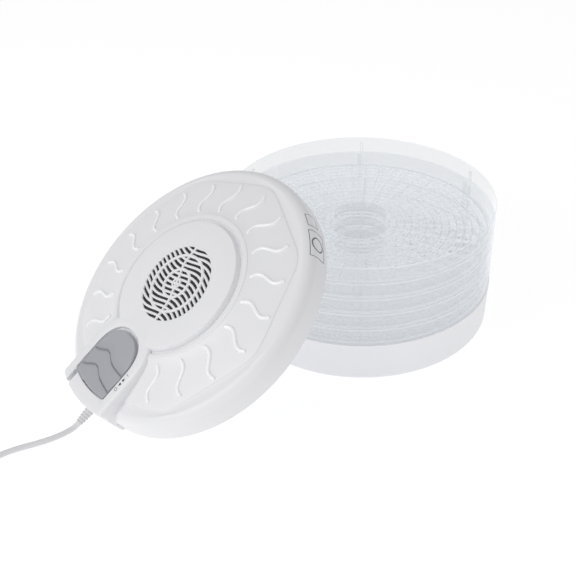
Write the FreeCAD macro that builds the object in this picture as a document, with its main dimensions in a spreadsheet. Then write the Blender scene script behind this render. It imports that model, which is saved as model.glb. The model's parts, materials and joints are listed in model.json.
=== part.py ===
import FreeCAD, Part
import Sketcher
import math
import os
import re
from FreeCAD import Placement, Rotation, Vector

# Round food dehydrator, 330 mm across: a base bowl, five clear stacking trays and a lid
# that holds the fan, the heater, the slide switch and the mains lead.
# The row's origin is the middle of the base's underside, +Z is up along the stack.
# The lid is off and leans against the stack, its rim on the table, its face to the front left.
# Lid pieces are drawn upright, +Z out of the lid's face, z = 0 on its flat ring, and one
# placement, lean(), puts them all where the leaning lid is.

SIZES = {
    # stack
    "rim_radius": 165.0,
    "rim_wall": 1.8,
    "tray_pitch": 21.09,
    "stack_gap": 0.3,
    "ledge_thickness": 1.5,
    "nest_gap": 2.4,
    "nest_taper": 1.5,
    "nest_wall": 1.5,
    "nest_clearance": 0.6,
    "floor_thickness": 1.8,
    "ring_radius": 35.3,
    "ring_wall": 1.8,
    "ring_height": 12.0,
    "slat_width": 3.0,
    "spoke_width": 2.4,
    "slot_rows": 13,
    "slot_sectors": 24,
    "post_count": 6,
    "post_angle": 26.25,
    "post_width": 5.0,
    "post_depth": 2.4,
    "tab_width": 4.0,
    "tab_height": 13.0,
    "tab_offset": 3.0,
    "tab_clearance": 0.4,
    "base_height": 51.45,
    "base_wall": 2.5,
    "base_floor": 2.5,
    "base_edge": 6.0,
    "base_draft": 1.5,
    "base_dome_radius": 60.0,
    "base_dome_height": 9.0,
    # lid shell
    "shell_wall": 2.2,
    "opening_radius": 74.0,
    "deck_radius": 91.0,
    "cone_radius": 96.0,
    "cone_drop": 2.5,
    "shoulder_inset": 15.0,
    "shoulder_drop": 11.6,
    "shoulder_bend": 13.0,
    "lid_depth": 44.9,
    "under_recess": 5.2,
    "under_thickness": 2.0,
    "fit_gap": 0.3,
    "locator_gap": 2.7,
    "locator_wall": 2.0,
    "locator_reach": 3.0,
    "outlet_radius": 34.0,
    "outlet_rows": 3,
    "outlet_sectors": 8,
    "outlet_hub": 8.0,
    "outlet_bar": 2.5,
    "boss_inset": 25.0,
    "boss_count": 6,
    "boss_radius": 4.5,
    "boss_length": 5.0,
    "screw_radius": 1.5,
    "screw_clearance": 0.05,
    "screw_head_radius": 3.2,
    "screw_head_height": 2.0,
    "screw_bite": 4.0,
    "boss_floor": 3.0,
    # grille panel
    "panel_radius": 81.0,
    "panel_height": 3.3,
    "grille_radius": 46.5,
    "grille_pitch": 6.1,
    "grille_slot": 3.2,
    "grille_wave": 3.8,
    "grille_wavelength": 76.0,
    "grille_phase": -3.5,
    "grille_eye": 5.2,
    "grille_ring_one": 17.7,
    "grille_ring_two": 35.5,
    "grille_bar": 3.6,
    # control pod
    "pod_top": 3.0,
    "pod_half_width": 48.0,
    "pod_arch_end": 62.0,
    "pod_depth": 14.0,
    "pod_wall": 2.2,
    "pod_overhang": 3.0,
    "apron_depth": 37.7,
    "recess_half_width": 35.0,
    "recess_arch_end": 72.0,
    "recess_foot_radius": 151.0,
    "recess_depth": 4.0,
    "groove_side": 33.6,
    "groove_width": 7.4,
    "groove_start": 152.0,
    "groove_floor": 6.0,
    # slide switch
    "switch_travel": 4.0,
    "cap_gap": 0.3,
    "cap_height": 3.9,
    "stem_width": 8.0,
    "stem_length": 6.0,
    "stem_place": 112.0,
    "stem_depth": 5.0,
    "switch_width": 30.0,
    "switch_length": 24.0,
    "switch_height": 8.0,
    "slider_width": 6.0,
    "slider_length": 5.0,
    "slider_height": 4.0,
    # fan and motor
    "shroud_radius": 50.0,
    "shroud_wall": 2.0,
    "shroud_height": 17.7,
    "shroud_flange": 56.0,
    "bracket_thickness": 2.0,
    "bracket_ring": 4.0,
    "bracket_arm": 8.0,
    "bracket_hub": 7.0,
    "stack_height": 12.0,
    "stack_half_width": 22.0,
    "stack_near": 18.0,
    "stack_far": 41.0,
    "window_half_width": 12.0,
    "window_near": 16.0,
    "window_far": 30.0,
    "coil_wrap": 2.8,
    "coil_slack": 0.1,
    "rotor_radius": 11.0,
    "air_gap": 0.3,
    "rotor_end_gap": 0.6,
    "shaft_radius": 1.6,
    "shaft_clearance": 0.05,
    "bush_radius": 4.0,
    "bush_length": 3.0,
    "bridge_width": 12.0,
    "impeller_radius": 46.0,
    "impeller_hub": 12.0,
    "impeller_height": 11.0,
    "impeller_floor": 1.7,
    "blade_count": 7,
    "blade_chord": 15.0,
    "blade_thickness": 1.4,
    "blade_pitch": 35.0,
    "clip_radius": 3.2,
    "clip_thickness": 0.6,
    # heater and wiring
    "heater_circle": 66.0,
    "heater_tube": 3.2,
    "heater_height": 11.7,
    "heater_sweep": 320.0,
    "saddle_width": 10.0,
    "saddle_depth": 12.0,
    "saddle_clearance": 0.1,
    "shield_radius": 78.0,
    "shield_wall": 1.0,
    "shield_height": 21.0,
    "control_circle": 91.0,
    "thermostat_radius": 8.0,
    "thermostat_height": 7.0,
    "fuse_radius": 2.2,
    "fuse_length": 14.0,
    "terminal_width": 30.0,
    "terminal_length": 14.0,
    "terminal_height": 22.5,
    "terminal_inset": 38.0,
    "clamp_width": 22.0,
    "clamp_length": 8.0,
    "clamp_height": 25.0,
    "clamp_inset": 22.0,
    # mains lead
    "cord_radius": 3.25,
    "exit_side": 8.0,
    "exit_drop": 18.0,
    "boot_root": 5.9,
    "boot_tip": 4.2,
    "boot_length": 20.0,
    "boot_flange": 7.0,
    "boot_flange_thickness": 2.0,
    "boot_flange_seat": 11.0,
    "boot_grooves": 5,
    "boot_groove_width": 1.5,
    "coil_radius": 39.0,
    "coil_across": 6.6,
    "coil_tall": 19.6,
    "tie_width": 8.0,
    "tie_thickness": 0.9,
    "tie_gap": 0.4,
    "tie_angle": 60.0,
    "plug_width": 26.0,
    "plug_length": 24.0,
    "plug_height": 14.4,
    "plug_corner": 4.0,
    "plug_boot_length": 22.0,
    "plug_boot_tip": 4.0,
    "plug_boot_root": 5.8,
    "pin_width": 6.4,
    "pin_thickness": 1.5,
    "pin_length": 17.0,
    "pin_spacing": 12.7,
    # lean
    "lean_angle": 36.58,
    "lean_azimuth": 212.77,
    "lean_side": 11.5,
    "lean_gap": 0.3,
}

TRAYS = 5

doc = FreeCAD.newDocument("food_dehydrator")
sheet = doc.addObject("Spreadsheet::Sheet", "Sizes")
for row, (alias, value) in enumerate(SIZES.items(), start=1):
    sheet.set("A%d" % row, alias)
    sheet.set("B%d" % row, str(value))
    sheet.setAlias("B%d" % row, alias)
doc.recompute()

WORD = re.compile(r"\b(" + "|".join(SIZES) + r")\b")
made = []


def read(expression):
    """The value of an expression of sheet names, worked out from the sheet's own cells."""
    scratch = doc.getObject("Scratch") or doc.addObject("App::FeaturePython", "Scratch")
    if "Value" not in scratch.PropertiesList:
        scratch.addProperty("App::PropertyFloat", "Value")
    scratch.setExpression("Value", linked(expression))
    scratch.recompute()
    return scratch.Value


def linked(expression):
    """The same expression with each sheet name written as a link to its cell."""
    return WORD.sub(r"Sizes.\1", expression)


def size(alias):
    return float(sheet.get(alias))


def bind(item, **sizes):
    for prop, expression in sizes.items():
        item.setExpression(prop, linked(expression))
    return item


def at(item, x="0", y="0", z="0", turn=None):
    """Bind an item's place to expressions; turn is its fixed rotation."""
    if turn is not None:
        item.Placement = Placement(Vector(), turn)
    for axis, expression in (("x", x), ("y", y), ("z", z)):
        item.setExpression(".Placement.Base." + axis, linked(expression))
    return item


def box(name, length, width, height, x="0", y="0", z="0"):
    """A block centred on x and y that stands on z."""
    item = bind(doc.addObject("Part::Box", name), Length=length, Width=width, Height=height)
    return at(item, "(%s) - (%s) / 2" % (x, length), "(%s) - (%s) / 2" % (y, width), z)


def cylinder(name, radius, height, x="0", y="0", z="0", turn=None):
    item = bind(doc.addObject("Part::Cylinder", name), Radius=radius, Height=height)
    return at(item, x, y, z, turn)


def cone(name, radius_low, radius_high, height, x="0", y="0", z="0", turn=None):
    item = doc.addObject("Part::Cone", name)
    bind(item, Radius1=radius_low, Radius2=radius_high, Height=height)
    return at(item, x, y, z, turn)


def cut(name, base, *tools):
    for count, tool in enumerate(tools):
        item = doc.addObject("Part::Cut", "%s_%d" % (name, count))
        item.Base = base
        item.Tool = tool
        base = item
    return base


def fuse(name, *shapes):
    item = doc.addObject("Part::MultiFuse", name)
    item.Shapes = list(shapes)
    return item


def common(name, *shapes):
    item = doc.addObject("Part::MultiCommon", name)
    item.Shapes = list(shapes)
    return item


def tube(name, outer, inner, height, z="0"):
    """A ring about the upright axis that stands on z."""
    bore = cylinder(name + "_bore", inner, "(%s) + 2" % height, z="(%s) - 1" % z)
    return cut(name, cylinder(name + "_outside", outer, height, z=z), bore)


def revolved(name, outline):
    """A PartDesign body: a closed outline of (radius, height) expressions turned about Z."""
    body = doc.addObject("PartDesign::Body", name)
    plane = next(f for f in body.Origin.OriginFeatures if f.Role == "XZ_Plane")
    sketch = body.newObject("Sketcher::SketchObject", name + "_outline")
    sketch.AttachmentSupport = [(plane, "")]
    sketch.MapMode = "FlatFace"
    spots = [Vector(read(r), read(z), 0) for r, z in outline]
    for spot, after in zip(spots, spots[1:] + spots[:1]):
        sketch.addGeometry(Part.LineSegment(spot, after))
    for line in range(len(spots)):
        following = (line + 1) % len(spots)
        sketch.addConstraint(Sketcher.Constraint("Coincident", line, 2, following, 1))
    for line, (r, z) in enumerate(outline):
        for kind, expression in (("DistanceX", r), ("DistanceY", z)):
            value = read(expression)
            mark = sketch.addConstraint(Sketcher.Constraint(kind, -1, 1, line, 1, value))
            sketch.setExpression("Constraints[%d]" % mark, linked(expression))
    turn = body.newObject("PartDesign::Revolution", name + "_turn")
    turn.Profile = sketch
    turn.ReferenceAxis = (sketch, ["V_Axis"])
    turn.Angle = 360.0
    doc.recompute()
    return body


def rounded(body, name, radius, wanted):
    """Round the circular edges of a body that wanted(radius, height) picks."""
    picked = []
    for count, edge in enumerate(body.Shape.Edges, start=1):
        if isinstance(edge.Curve, Part.Circle) and wanted(edge.Curve.Radius, edge.Curve.Center.z):
            picked.append("Edge%d" % count)
    base = body.Tip
    item = body.newObject("PartDesign::Fillet", name)
    item.Base = (base, picked)
    bind(item, Radius=radius)
    body.Tip = item
    doc.recompute()
    return body


def coded(name, shape, placement=None):
    item = doc.addObject("Part::Feature", name)
    item.Shape = shape
    if placement is not None:
        item.Placement = placement
    return item


def keep(item, label, placement=None):
    """Name a finished sub-part, put it in its place and list it for export."""
    if item.TypeId in ("Part::Box", "Part::Cylinder"):
        item = coded_group(item.Name + "Placed", [item])
    item.Label = label
    if placement is not None:
        item.Placement = placement
    made.append(item)
    return item


# ---------------------------------------------------------------- stack

def polar(radius, angle, z=0.0):
    """A point at a radius and an angle in radians."""
    return Vector(radius * math.cos(angle), radius * math.sin(angle), z)


def slot_wire(low, high, start, stop, bar):
    """A slot between two radii and two spokes whose sides lie half a bar from their middles."""
    corners = []
    for radius in (low, high):
        side = math.asin(bar / 2 / radius)
        corners.append((radius, start + side, stop - side))
    (near, near_start, near_stop), (far, far_start, far_stop) = corners
    edges = [
        Part.Arc(polar(near, near_start), polar(near, (start + stop) / 2),
                 polar(near, near_stop)).toShape(),
        Part.LineSegment(polar(near, near_stop), polar(far, far_stop)).toShape(),
        Part.Arc(polar(far, far_stop), polar(far, (start + stop) / 2),
                 polar(far, far_start)).toShape(),
        Part.LineSegment(polar(far, far_start), polar(near, near_start)).toShape(),
    ]
    return Part.Wire(edges)


def slotted_disc(inner, outer, first, last, rows, sectors, slat, spoke, thickness, z):
    """A flat ring pierced by rows of slots between spokes, from one face with holes."""
    wires = [Part.Wire(Part.makeCircle(outer)), Part.Wire(Part.makeCircle(inner))]
    pitch = (last - first + slat) / rows
    step = 2 * math.pi / sectors
    for ring in range(rows):
        low = first + ring * pitch
        for sector in range(sectors):
            start = (sector + 0.5) * step
            wires.append(slot_wire(low, low + pitch - slat, start, start + step, spoke))
    face = Part.Face(wires, "Part::FaceMakerBullseye")
    face.translate(Vector(0, 0, z))
    return face.extrude(Vector(0, 0, thickness))


def ring_solid(inner, outer, low, high):
    solid = Part.makeCylinder(outer, high - low, Vector(0, 0, low))
    return solid.cut(Part.makeCylinder(inner, high - low + 2, Vector(0, 0, low - 1)))


def turned(points):
    """A solid from a closed outline of (radius, height) turned about Z."""
    spots = [Vector(r, 0, z) for r, z in points]
    return Part.Face(Part.makePolygon(spots + spots[:1])).revolve(Vector(), Vector(0, 0, 1), 360)


def spoke_block(inner, outer, width, low, high, angle):
    """A block that runs outward from one radius to another at an angle in degrees."""
    block = Part.makeBox(outer - inner, width, high - low, Vector(inner, -width / 2, low))
    block.rotate(Vector(), Vector(0, 0, 1), angle)
    return block


def tray_levels():
    """Heights in a tray, measured from the underside of its ledge."""
    ledge_top = size("ledge_thickness")
    floor_low = ledge_top - size("tray_pitch") + size("nest_clearance")
    floor_top = floor_low + size("floor_thickness")
    rim_top = size("tray_pitch") - size("stack_gap")
    return ledge_top, floor_low, floor_top, rim_top


def tray_shape():
    """One clear tray: rim wall, ledge, nesting wall, slotted floor, ring, posts and tabs."""
    ledge_top, floor_low, floor_top, rim_top = tray_levels()
    rim_outer = size("rim_radius")
    rim_inner = rim_outer - size("rim_wall")
    nest_outer = rim_inner - size("nest_gap")
    foot_outer = nest_outer - size("nest_taper")
    nest_wall = size("nest_wall")
    wall = turned([
        (rim_outer, 0), (rim_outer, rim_top), (rim_inner, rim_top), (rim_inner, ledge_top),
        (nest_outer - nest_wall, ledge_top), (foot_outer - nest_wall, floor_low),
        (foot_outer, floor_low), (nest_outer, 0)])
    ring_outer = size("ring_radius")
    ring_inner = ring_outer - size("ring_wall")
    slat = size("slat_width")
    floor = slotted_disc(
        (ring_outer + ring_inner) / 2, foot_outer - nest_wall / 2,
        ring_outer + slat, foot_outer - nest_wall - slat,
        int(size("slot_rows")), int(size("slot_sectors")), slat, size("spoke_width"),
        size("floor_thickness"), floor_low)
    ring = ring_solid(ring_inner, ring_outer, floor_low, floor_top + size("ring_height"))
    pieces = [floor, ring]
    post_inner = foot_outer - nest_wall - size("post_depth")
    tab_inner = nest_outer + size("tab_clearance")
    for count in range(int(size("post_count"))):
        angle = size("post_angle") + count * 360 / size("post_count")
        pieces.append(spoke_block(post_inner, foot_outer - nest_wall / 2, size("post_width"),
                                  floor_top - size("floor_thickness") / 2, ledge_top, angle))
        pieces.append(spoke_block(tab_inner, rim_outer - size("rim_wall") / 2,
                                  size("tab_width"), ledge_top - size("ledge_thickness") / 2,
                                  ledge_top + size("tab_height"), angle - size("tab_offset")))
    return wall.fuse(pieces)


def make_base():
    """The white bowl: near-vertical wall, rounded lower edge, flat floor with a low dome."""
    body = revolved("BaseBody", [
        ("0", "0"),
        ("rim_radius - base_draft", "0"),
        ("rim_radius", "base_height"),
        ("rim_radius - base_wall", "base_height"),
        ("rim_radius - base_wall - base_draft", "base_floor"),
        ("base_dome_radius", "base_floor"),
        ("0", "base_floor + base_dome_height"),
    ])
    edge = size("rim_radius") - size("base_draft")
    rounded(body, "BaseEdge", "base_edge", lambda r, z: abs(r - edge) < 0.01 and abs(z) < 0.01)
    keep(body, "base_bowl")


def make_trays():
    shape = tray_shape()
    for count in range(TRAYS):
        level = size("base_height") + size("stack_gap") + count * size("tray_pitch")
        name = "tray_%d" % (count + 1)
        keep(coded("Tray%d" % (count + 1), shape), name, Placement(Vector(0, 0, level), Rotation()))


# ---------------------------------------------------------------- lid

def stack_top():
    _, _, _, rim_top = tray_levels()
    return size("base_height") + size("stack_gap") + (TRAYS - 1) * size("tray_pitch") + rim_top


def lean():
    """Where the leaning lid is: its skirt on the table, its underside on the top tray's rim."""
    tilt = math.radians(size("lean_angle"))
    toward = math.radians(size("lean_azimuth"))
    plate = (size("rim_radius") * math.sin(tilt) + stack_top() * math.cos(tilt)
             + size("lean_gap"))
    skirt = plate - size("under_recess")
    centre_z = size("rim_radius") * math.sin(tilt)
    out = (skirt - centre_z * math.cos(tilt)) / math.sin(tilt)
    outward = Vector(math.cos(toward), math.sin(toward), 0)
    sideways = Vector(-math.sin(toward), math.cos(toward), 0)
    turn = Rotation(Vector(0, 0, 1), size("lean_azimuth") + 90)
    turn = turn.multiply(Rotation(Vector(1, 0, 0), size("lean_angle")))
    normal = turn.multVec(Vector(0, 0, 1))
    skirt_centre = outward * out + sideways * size("lean_side") + Vector(0, 0, centre_z)
    return Placement(skirt_centre + normal * size("lid_depth"), turn)


# Heights in the lid, from the flat ring of its face.
UNDER_LOW = "(under_recess - lid_depth)"
UNDER_TOP = "(under_recess - lid_depth + under_thickness)"
BOSS_CIRCLE = "(rim_radius - boss_inset)"
TERMINAL_PLACE = "(rim_radius - terminal_inset)"
CLAMP_PLACE = "(rim_radius - clamp_inset)"
CONE_SLOPE = "((shoulder_drop - cone_drop) / (rim_radius - shoulder_inset - cone_radius))"
SHROUD_TOP = "(under_recess - lid_depth + under_thickness + shroud_height)"
BRACKET_TOP = "(%s + bracket_thickness)" % SHROUD_TOP
MOTOR_TOP = "(%s + stack_height)" % BRACKET_TOP
HEATER_LEVEL = "(%s + heater_height)" % UNDER_TOP
EXIT_TURN = Rotation(Vector(1, 0, 0), 90)


def pod_outline(half, arch_end, foot, name, low, high):
    """A solid with straight sides, a round arch toward the lid's middle and a round foot."""
    block = box(name + "_sides", "2 * (%s)" % half, "%s - (%s) - (%s)" % (foot, arch_end, half),
                "(%s) - (%s)" % (high, low),
                y="-((%s) + (%s) + (%s)) / 2" % (foot, arch_end, half), z=low)
    arch = cylinder(name + "_arch", half, "(%s) - (%s)" % (high, low),
                    y="-((%s) + (%s))" % (arch_end, half), z=low)
    disc = cylinder(name + "_foot", foot, "(%s) - (%s)" % (high, low), z=low)
    return common(name + "_outline", fuse(name + "_plan", block, arch), disc)


def make_top_cover(place):
    """The outer shell: flat ring, shallow cone, rounded shoulder and skirt wall."""
    wall = "shell_wall"
    body = revolved("CoverBody", [
        ("opening_radius", "0"),
        ("deck_radius", "0"),
        ("cone_radius", "-cone_drop"),
        ("rim_radius", "-cone_drop - (rim_radius - cone_radius) * " + CONE_SLOPE),
        ("rim_radius", "-lid_depth"),
        ("rim_radius - " + wall, "-lid_depth"),
        ("rim_radius - " + wall, "-cone_drop - (rim_radius - %s - cone_radius) * %s - %s"
         % (wall, CONE_SLOPE, wall)),
        ("cone_radius", "-cone_drop - " + wall),
        ("deck_radius", "-" + wall),
        ("opening_radius", "-" + wall),
    ])
    rim = size("rim_radius")
    inner = rim - size("shell_wall")
    skirt = -size("lid_depth")
    rounded(body, "CoverShoulder", "shoulder_bend",
            lambda r, z: abs(r - rim) < 0.01 and z > skirt + 1)
    rounded(body, "CoverShoulderInside", "shoulder_bend - shell_wall",
            lambda r, z: abs(r - inner) < 0.01 and z > skirt + 1)
    notch = pod_outline("pod_half_width + fit_gap", "pod_arch_end - fit_gap",
                        "rim_radius + 20", "CoverNotch", "-pod_depth - fit_gap", "20")
    exit_hole = cylinder("CoverExit", "boot_root + fit_gap", "30", x="exit_side",
                         y="-(rim_radius - 15)", z="-exit_drop", turn=EXIT_TURN)
    bosses = []
    for count in range(int(size("boss_count"))):
        angle = "%d * 360 / boss_count" % count
        x = "%s * cos(%s)" % (BOSS_CIRCLE, angle)
        y = "%s * sin(%s)" % (BOSS_CIRCLE, angle)
        roof = ("-cone_drop - (%s - cone_radius) * %s - shell_wall / 2"
                % (BOSS_CIRCLE, CONE_SLOPE))
        foot = boss_split()
        post = cylinder("CoverBoss%d" % count, "boss_radius", "(%s) - (%s)" % (roof, foot),
                        x=x, y=y, z=foot)
        pilot = cylinder("CoverPilot%d" % count, "screw_radius + screw_clearance",
                         "screw_bite + 0.5", x=x, y=y, z=foot)
        bosses.append((post, pilot))
    shell = cut("CoverShell", body, notch, exit_hole)
    whole = fuse("CoverWhole", shell, *[post for post, _ in bosses])
    return keep(cut("Cover", whole, *[pilot for _, pilot in bosses]), "lid_top_cover", place)


def boss_split():
    """The height at which the upper and the lower screw bosses face each other."""
    return ("(-cone_drop - (%s - cone_radius) * %s - shell_wall - boss_length)"
            % (BOSS_CIRCLE, CONE_SLOPE))


def make_under_cover(place):
    """The underside: flat plate with the slotted air outlet, locating ring and screw bosses."""
    under_low = read(UNDER_LOW)
    under_top = read(UNDER_TOP)
    plate = slotted_disc(
        size("outlet_hub") / 4, size("rim_radius") - size("shell_wall") - size("fit_gap"),
        size("outlet_hub"), size("outlet_radius"), int(size("outlet_rows")),
        int(size("outlet_sectors")), size("outlet_bar"), size("outlet_bar"),
        under_top - under_low, under_low)
    centre = Part.makeCylinder(size("outlet_hub") / 2, under_top - under_low,
                               Vector(0, 0, under_low))
    locator_outer = size("rim_radius") - size("rim_wall") - size("locator_gap")
    locator = ring_solid(locator_outer - size("locator_wall"), locator_outer,
                         -size("lid_depth") - size("locator_reach"), (under_low + under_top) / 2)
    pieces = [centre, locator]
    pilots = []
    boss_top = read(boss_split()) - size("fit_gap")
    head_seat = boss_top - size("boss_floor")
    for count in range(int(size("boss_count"))):
        spot = polar(read(BOSS_CIRCLE), count * 2 * math.pi / size("boss_count"))
        low = spot + Vector(0, 0, under_low)
        pieces.append(Part.makeCylinder(size("boss_radius"), boss_top - under_low, low))
        pilots.append(Part.makeCylinder(size("screw_radius") + size("screw_clearance"),
                                        boss_top - under_low + 2, low - Vector(0, 0, 1)))
        pilots.append(Part.makeCylinder(size("screw_head_radius") + size("fit_gap"),
                                        head_seat - under_low + 1, low - Vector(0, 0, 1)))
    shape = plate.fuse(pieces).cut(pilots)
    keep(coded("UnderCover", shape), "lid_lower_cover", place)


def make_lid_screws(place):
    seat = "(%s - fit_gap - boss_floor)" % boss_split()
    screws = []
    for count in range(int(size("boss_count"))):
        angle = "%d * 360 / boss_count" % count
        x = "%s * cos(%s)" % (BOSS_CIRCLE, angle)
        y = "%s * sin(%s)" % (BOSS_CIRCLE, angle)
        head = cylinder("ScrewHead%d" % count, "screw_head_radius", "screw_head_height",
                        x=x, y=y, z="%s - screw_head_height" % seat)
        shank = cylinder("ScrewShank%d" % count, "screw_radius",
                         "boss_floor + fit_gap + screw_bite", x=x, y=y, z=seat)
        screws.append(fuse("Screw%d" % count, head, shank))
    keep(coded_group("LidScrews", screws), "lid_screws", place)


def coded_group(name, items):
    """Several separate solids as one compound object."""
    group = doc.addObject("Part::Compound", name)
    group.Links = items
    return group


def wave_height(x, row):
    turns = 2 * math.pi * x / size("grille_wavelength")
    return size("grille_phase") + row * size("grille_pitch") + size("grille_wave") * math.sin(turns)


def wavy_slot(row, reach, low, high):
    """One wavy slot across the grille, as a solid between two heights."""
    half = size("grille_slot") / 2
    steps = 16
    sides = []
    for offset in (-half, half):
        spots = []
        for count in range(steps + 1):
            x = reach * (2 * count / steps - 1)
            spots.append(Vector(x, wave_height(x, row) + offset, low))
        curve = Part.BSplineCurve()
        curve.interpolate(spots)
        sides.append((curve.toShape(), spots[0], spots[-1]))
    (lower, lower_start, lower_end), (upper, upper_start, upper_end) = sides
    ends = [Part.LineSegment(lower_end, upper_end).toShape(),
            Part.LineSegment(upper_start, lower_start).toShape()]
    wire = Part.Wire(Part.__sortEdges__([lower, ends[0], upper, ends[1]]))
    return Part.Face(wire).extrude(Vector(0, 0, high - low))


def make_grille_panel(place):
    """The raised round insert with its wavy intake slots, cut away for the control pod."""
    wall = size("shell_wall")
    top = size("panel_height")
    low = -2 * wall
    insert = size("opening_radius") - size("fit_gap")
    disc = turned([(0, top - wall), (0, top), (size("panel_radius"), top),
                   (size("panel_radius"), 0), (insert, 0), (insert, low),
                   (insert - wall, low), (insert - wall, top - wall)])
    rings = [(size("grille_eye"), size("grille_ring_one")),
             (size("grille_ring_one"), size("grille_ring_two")),
             (size("grille_ring_two"), size("grille_radius") + size("grille_bar") / 2)]
    bar = size("grille_bar") / 2
    zones = [ring_solid(near + bar, far - bar, low, top + 1) for near, far in rings]
    area = zones[0].fuse(zones[1:])
    rows = int(size("grille_radius") / size("grille_pitch")) + 1
    slots = []
    for row in range(-rows, rows + 1):
        slots.append(wavy_slot(row, size("grille_radius") + 2, low, top + 1))
    openings = area.common(Part.Compound(slots))
    spine = Part.makeBox(size("grille_bar"), 2 * size("grille_radius"), top - low + 2,
                         Vector(-size("grille_bar") / 2, -size("grille_radius"), low - 1))
    pod = pod_solid("pod_half_width", "pod_arch_end", size("fit_gap"), low - 1, top + 1)
    keep(coded("GrillePanel", disc.cut(openings.cut(spine)).cut(pod)), "grille_panel", place)


def pod_solid(half_alias, arch_alias, gap, low, high):
    """The pod's plan, a gap larger all round, as a solid between two heights."""
    half = size(half_alias) + gap
    middle = size(arch_alias) + size(half_alias)
    arch = Part.makeCylinder(half, high - low, Vector(0, -middle, low))
    reach = size("rim_radius") + 20 - middle
    return arch.fuse(Part.makeBox(2 * half, reach, high - low, Vector(-half, -middle - reach, low)))


def make_control_housing(place):
    """The pod: arched deck with a sunk bed for the switch cap and an apron over the rim."""
    foot = "(rim_radius + pod_overhang)"
    outside = pod_outline("pod_half_width", "pod_arch_end", foot, "Pod", "-pod_depth", "pod_top")
    inside = pod_outline("pod_half_width - pod_wall", "pod_arch_end + pod_wall",
                         "(rim_radius - shell_wall)", "PodInside", "-pod_depth - 1",
                         "pod_top - recess_depth - pod_wall")
    recess = pod_outline("recess_half_width", "recess_arch_end", "recess_foot_radius", "Recess",
                         "pod_top - recess_depth", "pod_top + 1")
    slot = box("PodSlot", "stem_width + 2 * fit_gap", "stem_length + switch_travel + 2 * fit_gap",
               "recess_depth + pod_wall + 2", y="-(stem_place) + switch_travel / 2",
               z="pod_top - recess_depth - pod_wall - 1")
    groove = box("PodGroove", "groove_width", "rim_radius + pod_overhang - groove_start + 5",
                 "pod_top + groove_floor + 1", x="-groove_side + groove_width / 2",
                 y="-(rim_radius + pod_overhang + 5 + groove_start) / 2", z="-groove_floor")
    ring = tube("ApronRing", foot, "rim_radius + fit_gap",
                "apron_depth - pod_depth", z="-apron_depth")
    side = box("ApronSide", "2 * pod_half_width", "60", "apron_depth",
               y="-(rim_radius)", z="-apron_depth")
    apron = common("Apron", ring, side)
    exit_hole = cylinder("PodExit", "boot_root + fit_gap", "30", x="exit_side",
                         y="-(rim_radius - 15)", z="-exit_drop", turn=EXIT_TURN)
    shell = cut("PodShell", outside, inside, recess, slot, groove)
    whole = fuse("PodWhole", shell, apron)
    keep(cut("PodDone", whole, exit_hole), "control_housing", place)


def make_switch(place):
    """The grey slide cap with its stem, the slide switch under it and the switch's slider."""
    bed = "(pod_top - recess_depth)"
    under_bed = "(pod_top - recess_depth - pod_wall)"
    cap = pod_outline("recess_half_width - cap_gap", "recess_arch_end + cap_gap + switch_travel",
                      "(recess_foot_radius - cap_gap)", "Cap", bed + " + cap_gap",
                      bed + " + cap_gap + cap_height")
    stem = box("CapStem", "stem_width", "stem_length", "stem_depth + cap_gap",
               y="-stem_place", z=bed + " - stem_depth + cap_gap")
    keep(fuse("SwitchCap", cap, stem), "switch_cap", place)
    stem_low = "(pod_top - recess_depth - stem_depth + cap_gap)"
    slider = box("Slider", "slider_width", "slider_length", "slider_height",
                 y="-stem_place", z="%s - slider_height" % stem_low)
    keep(slider, "switch_slider", place)
    top = "(%s - cap_gap)" % stem_low
    block = box("SwitchBlock", "switch_width", "switch_length", "switch_height",
                y="-stem_place", z="%s - switch_height" % top)
    track = box("SwitchTrack", "slider_width + 2 * cap_gap",
                "slider_length + switch_travel + 2 * cap_gap", "slider_height + 1",
                y="-stem_place + switch_travel / 2", z="%s - slider_height - cap_gap" % top)
    legs = []
    for side in (-1, 1):
        legs.append(box("SwitchLeg%d" % (side + 1), "4", "switch_length / 2",
                        "%s - %s + 1" % (under_bed, top),
                        x="%d * (switch_width / 2 - 2)" % side, y="-stem_place",
                        z="%s - 1" % top))
    body = fuse("SwitchBody", cut("SwitchBox", block, track), *legs)
    keep(body, "switch_body", place)


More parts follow.
